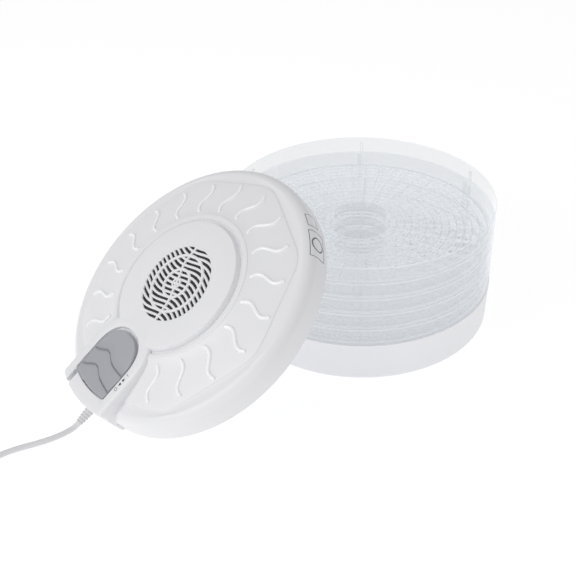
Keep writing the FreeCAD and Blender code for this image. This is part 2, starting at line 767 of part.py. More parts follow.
def make_fan(place):
    """Shroud, spider bracket, stator, winding, bushes, shaft, rotor, impeller and clip."""
    wall = tube("ShroudWall", "shroud_radius", "shroud_radius - shroud_wall", "shroud_height",
                z=UNDER_TOP)
    flange = tube("ShroudFlange", "shroud_flange", "shroud_radius - shroud_wall",
                  "shroud_wall", z=UNDER_TOP)
    keep(fuse("Shroud", wall, flange), "fan_shroud", place)
    ring = tube("SpiderRing", "shroud_radius", "shroud_radius - bracket_ring",
                "bracket_thickness", z=SHROUD_TOP)
    pieces = [ring, cylinder("SpiderHub", "bracket_hub", "bush_length",
                             z="%s - bush_length" % BRACKET_TOP)]
    for count in range(3):
        arm = doc.addObject("Part::Box", "SpiderArm%d" % count)
        bind(arm, Length="shroud_radius - bracket_ring / 2", Width="bracket_arm",
             Height="bracket_thickness")
        turn = Rotation(Vector(0, 0, 1), 30 + 120 * count)
        shift = turn.multVec(Vector(0, -size("bracket_arm") / 2, read(SHROUD_TOP)))
        arm.Placement = Placement(shift, turn)
        pieces.append(arm)
    seat = cylinder("SpiderSeat", "bush_radius", "bush_length + 2",
                    z="%s - bush_length - 1" % BRACKET_TOP)
    keep(cut("Spider", fuse("SpiderWhole", *pieces), seat), "motor_bracket", place)
    depth = "stack_near + stack_far"
    block = box("StatorBlock", "2 * stack_half_width", depth, "stack_height",
                y="(stack_far - stack_near) / 2", z=BRACKET_TOP)
    bore = cylinder("StatorBore", "rotor_radius + air_gap", "stack_height + 2",
                    z=BRACKET_TOP + " - 1")
    window = box("StatorWindow", "2 * window_half_width", "window_far - window_near",
                 "stack_height + 2", y="(window_far + window_near) / 2", z=BRACKET_TOP + " - 1")
    keep(cut("Stator", block, bore, window), "motor_stator", place)
    limb = "(stack_far - window_far)"
    middle = "(stack_far + window_far) / 2"
    outer = box("CoilOutside", "2 * (window_half_width - coil_slack)",
                "%s + 2 * coil_wrap" % limb, "stack_height + 2 * coil_wrap",
                y=middle, z=BRACKET_TOP + " - coil_wrap")
    inner = box("CoilInside", "2 * window_half_width + 2", "%s + 2 * coil_slack" % limb,
                "stack_height + 2 * coil_slack", y=middle, z=BRACKET_TOP + " - coil_slack")
    keep(cut("Winding", outer, inner), "motor_winding", place)
    bridge = box("BridgeBar", "bridge_width", depth + " - 20", "bracket_thickness",
                 z=MOTOR_TOP)
    bridge_hub = cylinder("BridgeHub", "bracket_hub", "bush_length", z=MOTOR_TOP)
    bridge_seat = cylinder("BridgeSeat", "bush_radius", "bush_length + 2", z=MOTOR_TOP + " - 1")
    keep(cut("Bridge", fuse("BridgeWhole", bridge, bridge_hub), bridge_seat), "motor_bridge",
         place)
    for name, level in (("lower_bush", "%s - bush_length" % BRACKET_TOP),
                        ("upper_bush", MOTOR_TOP)):
        keep(tube(name.title().replace("_", ""), "bush_radius", "shaft_radius + shaft_clearance",
                  "bush_length", z=level), name, place)
    foot = UNDER_TOP + " + impeller_floor"
    shaft_low = UNDER_TOP + " + fit_gap"
    keep(cylinder("Shaft", "shaft_radius", "%s + bush_length - (%s)" % (MOTOR_TOP, shaft_low),
                  z=shaft_low), "motor_shaft", place)
    keep(tube("Rotor", "rotor_radius", "shaft_radius", "stack_height - 2 * rotor_end_gap",
              z=BRACKET_TOP + " + rotor_end_gap"), "motor_rotor", place)
    blades = []
    for count in range(int(size("blade_count"))):
        blade = Part.makeBox(size("impeller_radius") - size("impeller_hub") + 1.5,
                             size("blade_chord"), size("blade_thickness"),
                             Vector(size("impeller_hub") - 1.5, -size("blade_chord") / 2,
                                    -size("blade_thickness") / 2))
        blade.rotate(Vector(), Vector(1, 0, 0), size("blade_pitch"))
        blade.rotate(Vector(), Vector(0, 0, 1), count * 360 / size("blade_count"))
        blade.translate(Vector(0, 0, read(foot) + size("impeller_height") / 2))
        blades.append(blade)
    low = Vector(0, 0, read(foot))
    hub = Part.makeCylinder(size("impeller_hub"), size("impeller_height"), low)
    tips = Part.makeCylinder(size("impeller_radius"), size("impeller_height"), low)
    bore = Part.makeCylinder(size("shaft_radius"), size("impeller_height"), low)
    impeller = hub.fuse(blades).common(tips).cut(bore)
    keep(coded("Impeller", impeller), "fan_impeller", place)
    keep(tube("ShaftClip", "clip_radius", "shaft_radius", "clip_thickness",
              z="%s - clip_thickness" % foot), "shaft_clip", place)


def saddle(angle):
    """One heater saddle: a block on the plate with the heater tube's groove in its top."""
    level = read(HEATER_LEVEL)
    under_top = read(UNDER_TOP)
    reach = size("saddle_depth") / 2
    block = spoke_block(size("heater_circle") - reach, size("heater_circle") + reach,
                        size("saddle_width"), under_top, level, angle)
    groove = Part.makeTorus(size("heater_circle"), size("heater_tube") + size("saddle_clearance"),
                            Vector(0, 0, level))
    return block.cut(groove)


def make_heater(place):
    """Sheathed ring heater on three saddles, the shield around it and its two safety parts."""
    ring = Part.makeTorus(size("heater_circle"), size("heater_tube"),
                          Vector(0, 0, read(HEATER_LEVEL)), Vector(0, 0, 1), 0, 360,
                          size("heater_sweep"))
    spare = (360 - size("heater_sweep")) / 2
    ring.rotate(Vector(), Vector(0, 0, 1), -90 + spare)
    keep(coded("Heater", ring), "heater_element", place)
    saddles = Part.Compound([saddle(angle) for angle in (30, 150, 210 + spare)])
    keep(coded("HeaterSaddles", saddles), "heater_saddles", place)
    keep(tube("Shield", "shield_radius", "shield_radius - shield_wall", "shield_height",
              z=UNDER_TOP), "heat_shield", place)
    keep(cylinder("Thermostat", "thermostat_radius", "thermostat_height",
                  x="control_circle * cos(250)", y="control_circle * sin(250)", z=UNDER_TOP),
         "thermostat", place)
    keep(cylinder("Fuse", "fuse_radius", "fuse_length", x="control_circle * cos(225)",
                  y="control_circle * sin(225)", z=UNDER_TOP + " + fuse_radius",
                  turn=Rotation(Vector(0, 1, 0), 90)), "thermal_fuse", place)


def make_wiring(place):
    """Terminal block and cord clamp on the plate, and the lead's end between them."""
    lead_start = "(rim_radius - shell_wall - boot_flange_seat - boot_flange_thickness)"
    keep(box("Terminal", "terminal_width", "terminal_length", "terminal_height",
             y="-" + TERMINAL_PLACE, z=UNDER_TOP), "terminal_block", place)
    lead = cylinder("InnerLead", "cord_radius",
                    "%s - %s - terminal_length / 2" % (lead_start, TERMINAL_PLACE),
                    x="exit_side", y="-(%s + terminal_length / 2)" % TERMINAL_PLACE, z="-exit_drop",
                    turn=EXIT_TURN)
    keep(lead, "inner_lead", place)
    arch = box("ClampArch", "clamp_width", "clamp_length", "clamp_height", x="exit_side",
               y="-" + CLAMP_PLACE, z=UNDER_TOP)
    hole = cylinder("ClampHole", "cord_radius + saddle_clearance", "clamp_length + 4",
                    x="exit_side", y="-(%s - clamp_length / 2 - 2)" % CLAMP_PLACE,
                    z="-exit_drop", turn=EXIT_TURN)
    keep(cut("Clamp", arch, hole), "cord_clamp", place)


def make_boot(place):
    """The strain relief: flange inside the skirt, neck through it, ribbed taper outside."""
    start = "(rim_radius - shell_wall - boot_flange_seat)"
    collar = cylinder("BootFlange", "boot_flange", "boot_flange_thickness", x="exit_side",
                      y="-(%s - boot_flange_thickness)" % start, z="-exit_drop", turn=EXIT_TURN)
    neck = cylinder("BootNeck", "boot_root", "rim_radius + pod_overhang - " + start,
                    x="exit_side", y="-" + start, z="-exit_drop", turn=EXIT_TURN)
    taper = cone("BootTaper", "boot_root", "boot_tip", "boot_length", x="exit_side",
                 y="-(rim_radius + pod_overhang)", z="-exit_drop", turn=EXIT_TURN)
    grooves = []
    for count in range(int(size("boot_grooves"))):
        place_out = "-(rim_radius + pod_overhang + (%d + 0.7) * boot_length / (boot_grooves + 1))"
        y = place_out % count
        sleeve = cylinder("BootSleeve%d" % count, "boot_root + 2", "boot_groove_width",
                          x="exit_side", y=y, z="-exit_drop", turn=EXIT_TURN)
        core = cylinder("BootCore%d" % count, "boot_tip - 0.6", "boot_groove_width + 2",
                        x="exit_side", y=y + " + 1", z="-exit_drop", turn=EXIT_TURN)
        grooves.append(cut("BootGroove%d" % count, sleeve, core))
    body = cut("BootCut", fuse("BootWhole", collar, neck, taper), *grooves)
    keep(body, "strain_relief", place)


# ---------------------------------------------------------------- mains lead on the table

FLOOR_LINE = 3.3     # height of the cord's middle where it lies on the table
CORD_ROUTE = [
    Vector(-328.1, -234.4, 7.9),
    Vector(-333.3, -237.7, FLOOR_LINE),
    Vector(-342.2, -246.2, FLOOR_LINE),
    Vector(-354.6, -254.8, FLOOR_LINE),
    Vector(-370.4, -262.2, FLOOR_LINE),
    Vector(-391.0, -269.8, FLOOR_LINE),
    Vector(-412.2, -281.6, FLOOR_LINE),
    Vector(-431.4, -299.6, FLOOR_LINE),
    Vector(-450.0, -323.0, FLOOR_LINE),
]
COIL_CENTRE = Vector(-482.6, -295.9, 0)
TAIL_ROUTE = [
    COIL_CENTRE + Vector(-42.3, 0, 9.8),
    COIL_CENTRE + Vector(-43.0, 22.0, 9.0),
    COIL_CENTRE + Vector(-33.0, 43.0, 7.8),
    COIL_CENTRE + Vector(-13.0, 56.0, 7.2),
]
PLUG_TURN = Rotation(Vector(0, 0, 1), 28.0)


def rounded_path(route):
    """Straight runs joined by tangent arcs, each as large as its two runs allow."""
    edges = []
    start = route[0]
    radii = []
    for before, corner, after in zip(route, route[1:], route[2:]):
        into = (corner - before)
        onward = (after - corner)
        half_turn = into.getAngle(onward) / 2
        shorter = min(into.Length, onward.Length)
        trim = 0.45 * shorter
        radius = trim / math.tan(half_turn)
        radii.append(round(radius, 1))
        into.normalize()
        onward.normalize()
        arc_start = corner - into * trim
        arc_end = corner + onward * trim
        inward = onward - into
        inward.normalize()
        middle = corner + inward * (radius / math.cos(half_turn) - radius)
        edges.append(Part.LineSegment(start, arc_start).toShape())
        edges.append(Part.Arc(arc_start, middle, arc_end).toShape())
        start = arc_end
    edges.append(Part.LineSegment(start, route[-1]).toShape())
    print("cord radii", radii)
    return Part.Wire(edges)


def swept(route, name):
    """A round cord along a route, and how its volume compares with section times length."""
    path = rounded_path(route)
    section = Part.Wire(Part.makeCircle(size("cord_radius"), route[0], route[1] - route[0]))
    tube_solid = path.makePipeShell([section], True, False)
    ratio = tube_solid.Volume / (math.pi * size("cord_radius") ** 2 * path.Length)
    print(name, "length", round(path.Length, 1), "volume ratio", round(ratio, 4))
    return tube_solid


def make_cord():
    """The lead along the table, the coil that takes up the rest, its tail and its tie."""
    cord = Part.Compound([swept(CORD_ROUTE, "cord"), swept(TAIL_ROUTE, "tail")])
    keep(coded("Cord", cord), "cord")
    half = size("coil_across")
    inner = size("coil_radius") - half
    outer = size("coil_radius") + half
    coil = ring_solid(inner, outer, 0, size("coil_tall"))
    coil = coil.makeFillet(half * 0.45, [e for e in coil.Edges if isinstance(e.Curve, Part.Circle)])
    keep(coded("Coil", coil), "cord_coil", Placement(COIL_CENTRE, Rotation()))
    gap = size("tie_gap")
    wrap = size("tie_thickness")
    band = Part.makeBox(outer - inner + 2 * (gap + wrap), size("tie_width"),
                        size("coil_tall") + gap + wrap,
                        Vector(inner - gap - wrap, -size("tie_width") / 2, 0))
    room = Part.makeBox(outer - inner + 2 * gap, size("tie_width") + 2,
                        size("coil_tall") + gap + 1,
                        Vector(inner - gap, -size("tie_width") / 2 - 1, -1))
    tie_turn = Rotation(Vector(0, 0, 1), size("tie_angle"))
    keep(coded("Tie", band.cut(room)), "cord_tie", Placement(COIL_CENTRE, tie_turn))


def make_plug():
    """Two-pin plug lying on the table beside the coil, at the end of the tail."""
    level = Vector(0, 0, size("plug_height") / 2)
    ahead = Vector(1, 0, 0)
    boot_end = size("plug_boot_length")
    taper = Part.makeCone(size("plug_boot_tip"), size("plug_boot_root"), boot_end, level, ahead)
    block = Part.makeBox(size("plug_length"), size("plug_width"), size("plug_height"),
                         Vector(boot_end, -size("plug_width") / 2, 0))
    upright = [e for e in block.Edges if abs(e.Vertexes[0].Z - e.Vertexes[1].Z) > 1]
    block = block.makeFillet(size("plug_corner"), upright)
    spot = Placement(TAIL_ROUTE[-1] - level + Vector(0, 0, level.z - TAIL_ROUTE[-1].z), PLUG_TURN)
    keep(coded("PlugBody", block.fuse(taper)), "plug_body", spot)
    pins = []
    for side in (-1, 1):
        corner = Vector(boot_end + size("plug_length"),
                        side * size("pin_spacing") / 2 - size("pin_thickness") / 2,
                        (size("plug_height") - size("pin_width")) / 2)
        pins.append(Part.makeBox(size("pin_length"), size("pin_thickness"), size("pin_width"),
                                 corner))
    keep(coded("PlugPins", Part.Compound(pins)), "plug_pins", spot)


# ---------------------------------------------------------------- build and export

def check_and_export():
    doc.recompute()
    os.makedirs("parts", exist_ok=True)
    for item in doc.Objects:
        bad = [state for state in item.State if state in ("Invalid", "Error")]
        if bad:
            raise RuntimeError("%s failed: %s" % (item.Name, bad))
    for item in made:
        if item.Shape.isNull() or not item.Shape.isValid() or not item.Shape.Solids:
            raise RuntimeError("%s has no valid solid" % item.Label)
    for item in made:
        item.Shape.exportStep("parts/%s.step" % item.Label)
        print("%-18s solids %2d  volume %10.1f" % (item.Label, len(item.Shape.Solids),
                                                 item.Shape.Volume))


make_base()
make_trays()
leaning = lean()
make_top_cover(leaning)
make_under_cover(leaning)
make_lid_screws(leaning)
make_grille_panel(leaning)
make_control_housing(leaning)
make_switch(leaning)
make_fan(leaning)
make_heater(leaning)
make_wiring(leaning)
make_boot(leaning)
make_cord()
make_plug()
check_and_export()
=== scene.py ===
import bmesh
import bpy
import json
import math
from mathutils import Matrix, Vector


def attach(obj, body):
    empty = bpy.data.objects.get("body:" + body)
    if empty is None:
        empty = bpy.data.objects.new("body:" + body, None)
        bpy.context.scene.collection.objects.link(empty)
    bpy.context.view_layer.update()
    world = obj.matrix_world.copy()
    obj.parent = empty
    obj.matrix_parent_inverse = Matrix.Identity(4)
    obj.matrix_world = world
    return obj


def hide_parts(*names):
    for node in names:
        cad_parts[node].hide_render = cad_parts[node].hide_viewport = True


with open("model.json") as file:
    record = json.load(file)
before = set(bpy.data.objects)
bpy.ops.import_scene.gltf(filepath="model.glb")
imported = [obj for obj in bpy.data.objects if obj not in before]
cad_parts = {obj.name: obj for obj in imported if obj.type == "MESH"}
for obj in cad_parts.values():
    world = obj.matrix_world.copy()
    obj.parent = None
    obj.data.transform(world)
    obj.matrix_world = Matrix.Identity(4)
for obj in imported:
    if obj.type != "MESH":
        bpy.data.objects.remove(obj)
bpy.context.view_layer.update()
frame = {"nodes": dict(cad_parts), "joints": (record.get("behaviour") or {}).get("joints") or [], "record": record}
NODES = frame["nodes"]
JOINTS = {joint["name"]: joint for joint in frame["joints"]}
MM = 0.001

# ---------------------------------------------------------------- sizes, in millimetres
RIM = 165.0            # outer radius of base, trays and lid
RIM_WALL = 1.8
PITCH = 21.09          # from one tray to the next
STACK_GAP = 0.3
LEDGE = 1.5            # thickness of the ledge inside a tray's rim
NEST_GAP = 2.4         # from the rim wall in to the wall that nests in the tray below
NEST_TAPER = 1.5
NEST_WALL = 1.5
NEST_CLEAR = 0.6       # from the ledge of the tray below up to a tray's floor
FLOOR = 1.8            # thickness of a tray's floor
RING = 35.3            # outer radius of the collar round a tray's middle hole
RING_WALL = 1.8
RING_TALL = 12.0
BASE_TALL = 51.45
LID_DEPTH = 44.9       # from the face's flat ring down to the skirt's edge
DECK = 91.6            # outer radius of the face's flat ring
PANEL = 79.4           # outer radius of the raised panel's top
CHANNEL = 85.6         # outer radius of the sunk channel round the panel
CHANNEL_FLOOR = -2.7
PANEL_TALL = 3.3
OPENING = 74.0         # radius of the hole in the shell below the panel
TRAYS = 5
AXIS = 0.01            # the smallest radius of a turned outline, so that no face is empty


# ---------------------------------------------------------------- camera, light and floor

def make_camera():
    """From the front, looking down about 34 degrees, 1.2 m from the stack."""
    data = bpy.data.cameras.new("camera")
    data.sensor_width = 36.0
    data.lens = 62.24
    data.clip_start = 0.05
    data.clip_end = 20.0
    camera = bpy.data.objects.new("camera", data)
    bpy.context.scene.collection.objects.link(camera)
    place = (-0.09192, -1.0741, 0.74846)
    pitch = 0.594
    roll = -0.025
    turn = Matrix.Rotation(math.pi / 2 - pitch, 4, "X") @ Matrix.Rotation(roll, 4, "Z")
    camera.matrix_world = Matrix.Translation(place) @ turn
    bpy.context.scene.camera = camera


def area_light(name, place, target, width, height, power):
    """A white rectangular light at a place in metres, aimed at a target."""
    data = bpy.data.lights.new(name, "AREA")
    data.shape = "RECTANGLE"
    data.size = width
    data.size_y = height
    data.energy = power
    light = bpy.data.objects.new(name, data)
    bpy.context.scene.collection.objects.link(light)
    light.location = place
    aim = Vector(target) - Vector(place)
    light.rotation_mode = "QUATERNION"
    light.rotation_quaternion = aim.to_track_quat("-Z", "Y")


def make_surroundings():
    """Even white light from all round."""
    scene = bpy.context.scene
    scene.view_settings.view_transform = "Standard"
    world = bpy.data.worlds.new("studio")
    world.use_nodes = True
    back = world.node_tree.nodes["Background"]
    back.inputs["Color"].default_value = (1.0, 1.0, 1.0, 1)
    back.inputs["Strength"].default_value = 0.5
    scene.world = world


def make_floor():
    """A floor that is white by its own glow, so that it shows only faint shadows."""
    reach = 6.0
    below = 0.0004
    mesh = bpy.data.meshes.new("floor")
    mesh.from_pydata([(-reach, -reach, 0), (reach, -reach, 0), (reach, reach, 0),
                      (-reach, reach, 0)], [], [(0, 1, 2, 3)])
    floor = bpy.data.objects.new("floor", mesh)
    bpy.context.scene.collection.objects.link(floor)
    floor.location.z = -below
    material = bpy.data.materials.new("floor_white")
    material.use_nodes = True
    shader = material.node_tree.nodes["Principled BSDF"]
    shader.inputs["Base Color"].default_value = (0.3, 0.3, 0.3, 1)
    shader.inputs["Roughness"].default_value = 0.9
    shader.inputs["Specular IOR Level"].default_value = 0.1
    shader.inputs["Emission Color"].default_value = (1, 1, 1, 1)
    shader.inputs["Emission Strength"].default_value = 0.8
    mesh.materials.append(material)


def make_lights():
    """A large key from the left, a soft top light, and weak lights in front and at the right."""
    middle = (-0.1, -0.05, 0.08)
    area_light("key", (-1.45, -0.8, 1.05), middle, 1.2, 1.2, 10.8)
    area_light("top", (0.1, 0.2, 1.8), middle, 1.8, 1.8, 3.0)
    area_light("fill", (0.1, -2.0, 0.3), middle, 1.4, 0.6, 2.6)
    area_light("side", (1.5, -0.6, 0.9), middle, 1.2, 1.2, 0.8)


# ---------------------------------------------------------------- materials

PLASTIC_IOR = 1.49


def plastic(name, colour, roughness, grain=0.02, scale=900.0, mottled=0.02):
    """Moulded plastic: fine grain in the bump, slight change of shade and of gloss."""
    material = bpy.data.materials.new(name)
    material.use_nodes = True
    tree = material.node_tree
    shader = tree.nodes["Principled BSDF"]
    coordinates = tree.nodes.new("ShaderNodeTexCoord")
    fine = tree.nodes.new("ShaderNodeTexNoise")
    fine.inputs["Scale"].default_value = scale
    fine.inputs["Detail"].default_value = 3.0
    broad = tree.nodes.new("ShaderNodeTexNoise")
    broad.inputs["Scale"].default_value = 9.0
    broad.inputs["Detail"].default_value = 4.0
    for noise in (fine, broad):
        tree.links.new(coordinates.outputs["Object"], noise.inputs["Vector"])
    shade = tree.nodes.new("ShaderNodeMix")
    shade.data_type = "RGBA"
    darker, lighter, mixed = shade.inputs[6], shade.inputs[7], shade.outputs[2]
    darker.default_value = (*[c * (1 - mottled) for c in colour], 1)
    lighter.default_value = (*[min(1.0, c * (1 + mottled)) for c in colour], 1)
    tree.links.new(broad.outputs["Fac"], shade.inputs["Factor"])
    tree.links.new(mixed, shader.inputs["Base Color"])
    gloss = tree.nodes.new("ShaderNodeMapRange")
    gloss.inputs["To Min"].default_value = roughness - 0.04
    gloss.inputs["To Max"].default_value = roughness + 0.05
    tree.links.new(broad.outputs["Fac"], gloss.inputs["Value"])
    tree.links.new(gloss.outputs["Result"], shader.inputs["Roughness"])
    bump = tree.nodes.new("ShaderNodeBump")
    bump.inputs["Strength"].default_value = grain
    bump.inputs["Distance"].default_value = 0.0005
    tree.links.new(fine.outputs["Fac"], bump.inputs["Height"])
    tree.links.new(bump.outputs["Normal"], shader.inputs["Normal"])
    shader.inputs["IOR"].default_value = PLASTIC_IOR
    return material


def metal(name, colour, roughness):
    """Bare metal, with a coarser grain and more mottled than plastic."""
    material = plastic(name, colour, roughness, grain=0.05, scale=720.0, mottled=0.05)
    material.node_tree.nodes["Principled BSDF"].inputs["Metallic"].default_value = 1.0
    return material


def clear_plastic(name, tint, roughness, see_through, glow):
    """Thin clear moulded plastic: mostly see-through and glossy, with slight flow waves.

    The glow stands for the light that many clear walls pass on to each other.
    """
    material = bpy.data.materials.new(name)
    material.use_nodes = True
    tree = material.node_tree
    shader = tree.nodes["Principled BSDF"]
    shader.inputs["Base Color"].default_value = (*tint, 1)
    shader.inputs["Roughness"].default_value = roughness
    shader.inputs["IOR"].default_value = PLASTIC_IOR
    shader.inputs["Alpha"].default_value = 1.0 - see_through
    shader.inputs["Emission Color"].default_value = (0.94, 0.97, 1.0, 1)
    shader.inputs["Emission Strength"].default_value = glow
    coordinates = tree.nodes.new("ShaderNodeTexCoord")
    flow = tree.nodes.new("ShaderNodeTexNoise")
    flow.inputs["Scale"].default_value = 60.0
    flow.inputs["Detail"].default_value = 2.0
    tree.links.new(coordinates.outputs["Object"], flow.inputs["Vector"])
    bump = tree.nodes.new("ShaderNodeBump")
    bump.inputs["Strength"].default_value = 0.05
    bump.inputs["Distance"].default_value = 0.0008
    tree.links.new(flow.outputs["Fac"], bump.inputs["Height"])
    tree.links.new(bump.outputs["Normal"], shader.inputs["Normal"])
    return material


def make_materials():
    """Every material by its name; a CAD piece gets the one named like its slot in the record."""
    return {
        "white_plastic": plastic("white_plastic", (0.82, 0.82, 0.845), 0.36),
        # Painted light: a lighter copy of the lid's white plastic, which makes up for light the base lacks
        "base_white_lit": plastic("base_white_lit", (0.865, 0.87, 0.90), 0.36),
        "clear_plastic": clear_plastic("clear_plastic", (0.28, 0.29, 0.31), 0.1,
                                       see_through=0.76, glow=0.45),
        # Painted highlight for the trays' edges: a lighter, less see-through and glowing copy of the clear plastic
        "clear_edge_highlight": clear_plastic("clear_edge_highlight", (0.55, 0.57, 0.59), 0.1,
                                    see_through=0.45, glow=0.39),
        # Painted highlight: the ribs are the lid's own white plastic, and this lighter white paints their
        # highlights
        "rib_highlight_white": plastic("rib_highlight_white", (0.93, 0.93, 0.95), 0.16, grain=0.01),
        "grey_plastic": plastic("grey_plastic", (0.40, 0.41, 0.44), 0.34, grain=0.04),
        "black_plastic": plastic("black_plastic", (0.022, 0.022, 0.024), 0.5, grain=0.08),
        "screw_steel": metal("screw_steel", (0.62, 0.63, 0.64), 0.32),
        "motor_iron": metal("motor_iron", (0.24, 0.25, 0.27), 0.5),
        "winding_copper": metal("winding_copper", (0.62, 0.28, 0.13), 0.35),
        "bush_brass": metal("bush_brass", (0.80, 0.62, 0.32), 0.28),
        "ceramic_cream": plastic("ceramic_cream", (0.80, 0.76, 0.66), 0.6, grain=0.15, scale=400),
        "shield_aluminium": metal("shield_aluminium", (0.78, 0.79, 0.80), 0.38),
        "cord_rubber": plastic("cord_rubber", (0.72, 0.72, 0.74), 0.45, grain=0.06),
        "sleeve_rubber": plastic("sleeve_rubber", (0.66, 0.66, 0.68), 0.45, grain=0.06),
    }


# ---------------------------------------------------------------- mesh helpers

def placed_mesh(name, points, faces, placement):
    """A mesh from points in millimetres, its faces turned outward, moved to its place."""
    mesh = bpy.data.meshes.new(name)
    mesh.from_pydata([tuple(c * MM for c in point) for point in points], [], faces)
    mesh.validate()
    turned = bmesh.new()
    turned.from_mesh(mesh)
    bmesh.ops.recalc_face_normals(turned, faces=turned.faces)
    turned.to_mesh(mesh)
    turned.free()
    mesh.transform(placement)
    return mesh


def shade_smooth(mesh):
    """Smooth shading that stays crisp at real edges."""
    mesh.polygons.foreach_set("use_smooth", [True] * len(mesh.polygons))
    mesh.set_sharp_from_angle(angle=math.radians(32))


def new_piece(name, points, faces, material, body, placement=Matrix()):
    """A mesh object from points in millimetres, riding on a body."""
    mesh = placed_mesh(name, points, faces, placement)
    shade_smooth(mesh)
    mesh.materials.append(MATERIALS[material])
    piece = bpy.data.objects.new(name, mesh)
    bpy.context.scene.collection.objects.link(piece)
    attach(piece, body)
    return piece


def loop_faces(rows, count, closed_rows=True):
    """Quads between successive rings of points, and from the last ring back to the first."""
    faces = []
    last = rows if closed_rows else rows - 1
    for row in range(last):
        here = row * count
        there = ((row + 1) % rows) * count
        for spot in range(count):
            after = (spot + 1) % count
            faces.append((here + spot, here + after, there + after, there + spot))
    return faces


def loft(loops, closed=False):
    """A form through loops of equal count: joined into a ring, or open with its ends filled."""
    count = len(loops[0])
    points = [point for loop in loops for point in loop]
    faces = loop_faces(len(loops), count, closed_rows=closed)
    if not closed:
        faces.append(tuple(range(count))[::-1])
        faces.append(tuple(range(len(points) - count, len(points))))
    return points, faces


def grid_quads(rows, columns):
    """Quads of a grid whose points are numbered row after row."""
    wide = columns + 1
    quads = []
    for row in range(rows):
        for column in range(columns):
            corner = row * wide + column
            quads.append((corner, corner + 1, corner + wide + 1, corner + wide))
    return quads


def grid_border(rows, columns):
    """The points round the edge of such a grid."""
    wide = columns + 1
    border = list(range(wide))
    border += [row * wide + columns for row in range(1, rows + 1)]
    border += [rows * wide + column for column in range(columns - 1, -1, -1)]
    border += [row * wide for row in range(rows - 1, 0, -1)]
    return border


def lathe(outline, count):
    """Points and faces of a closed outline of (radius, height), turned about the axis."""
    points = []
    for r, z in outline:
        for spot in range(count):
            angle = 2 * math.pi * spot / count
            points.append((r * math.cos(angle), r * math.sin(angle), z))
    return points, loop_faces(len(outline), count)


# Faces of a box whose first four corners go round its bottom and the other four round its top.
BOX_FACES = ((0, 1, 2, 3), (7, 6, 5, 4), (0, 4, 5, 1), (1, 5, 6, 2), (2, 6, 7, 3), (3, 7, 4, 0))


def arc_points(centre, radius, start, stop, steps):
    """Points of an arc from one angle to another, in degrees."""
    points = []
    for step in range(steps + 1):
        angle = math.radians(start + (stop - start) * step / steps)
        points.append((centre[0] + radius * math.cos(angle), centre[1] + radius * math.sin(angle)))
    return points


class Build:
    """Points in millimetres and faces of several closed forms, which make one mesh together."""

    def __init__(self):
        self.points = []
        self.faces = []

    def add(self, points, faces):
        first = len(self.points)
        self.points += points
        self.faces += [tuple(first + corner for corner in face) for face in faces]

    def lathe(self, outline, count):
        self.add(*lathe(outline, count))

    def block(self, inner, outer, width, low, high, angle, top_width):
        """A block that runs outward along an angle in degrees and narrows to its top."""
        direction = Vector((math.cos(math.radians(angle)), math.sin(math.radians(angle)), 0))
        side = Vector((-direction.y, direction.x, 0))
        corners = []
        for z, across in ((low, width), (high, top_width)):
            for r, s in ((inner, -1), (outer, -1), (outer, 1), (inner, 1)):
                corners.append(tuple(direction * r + side * s * across / 2 + Vector((0, 0, z))))
        self.add(corners, BOX_FACES)


def lid_matrix():
    """Where the leaning lid is: origin on its face ring, +Y up its slope, +Z out of its face."""
    spin = JOINTS["fan_spin"]
    normal = Vector(spin["axis"]).normalized()
    up_slope = Vector(JOINTS["switch_slide"]["axis"]).normalized()
    across = up_slope.cross(normal)
    matrix = Matrix((across, up_slope, normal)).transposed().to_4x4()
    return Matrix.Translation(Vector(spin["pos_m"])) @ matrix


def lid_piece(name, points, faces, material, slot="white_plastic"):
    """A piece of the lid, from points in the lid's own millimetres."""
    return new_piece(name, points, faces, material, "lid", LID)


def cut_away(piece, points, faces):
    """Take a closed form, in the lid's millimetres, out of a piece of the lid."""
    cutter = bpy.data.objects.new("cutter", placed_mesh("cutter", points, faces, LID))
    bpy.context.scene.collection.objects.link(cutter)
    change = piece.modifiers.new("cut", "BOOLEAN")
    change.operation = "DIFFERENCE"
    change.solver = "EXACT"
    change.object = cutter
    graph = bpy.context.evaluated_depsgraph_get()
    mesh = bpy.data.meshes.new_from_object(piece.evaluated_get(graph))
    piece.modifiers.clear()
    piece.data = mesh
    bpy.data.objects.remove(cutter)
    shade_smooth(mesh)


# ---------------------------------------------------------------- base and trays

def make_base():
    """White bowl with a rounded foot, a rolled rim and a domed floor."""
    wall = 2.5
    floor = 2.5
    draft = 1.5
    edge = 6.0
    dome = 60.0
    foot = RIM - draft
    inside = foot - wall
    outline = [(AXIS, 0.0), (dome, 0.0), (foot - edge, 0.0)]
    outline += arc_points((foot - edge, edge), edge, -84, 0, 8)
    outline += [(RIM - 0.5, BASE_TALL - 2.2), (RIM - 0.05, BASE_TALL - 0.7), (RIM - 0.6, BASE_TALL)]
    outline += [(RIM - wall + 0.5, BASE_TALL), (RIM - wall, BASE_TALL - 0.6)]
    outline += [(inside, 6.5), (inside - 1.2, 3.6), (inside - 4.0, floor), (dome, floor)]
    outline += [(45.0, 5.6), (20.0, 10.4), (AXIS, 11.5)]
    points, faces = lathe(outline, 256)
    # The base's lighter white is painted light, not a different plastic
    base = new_piece("base_shell", points, faces, "base_white_lit", "base")
    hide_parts("base_bowl")


def tray_levels():
    """Heights in a tray, from the underside of its ledge."""
    floor_low = LEDGE - PITCH + NEST_CLEAR
    return floor_low, floor_low + FLOOR, PITCH - STACK_GAP


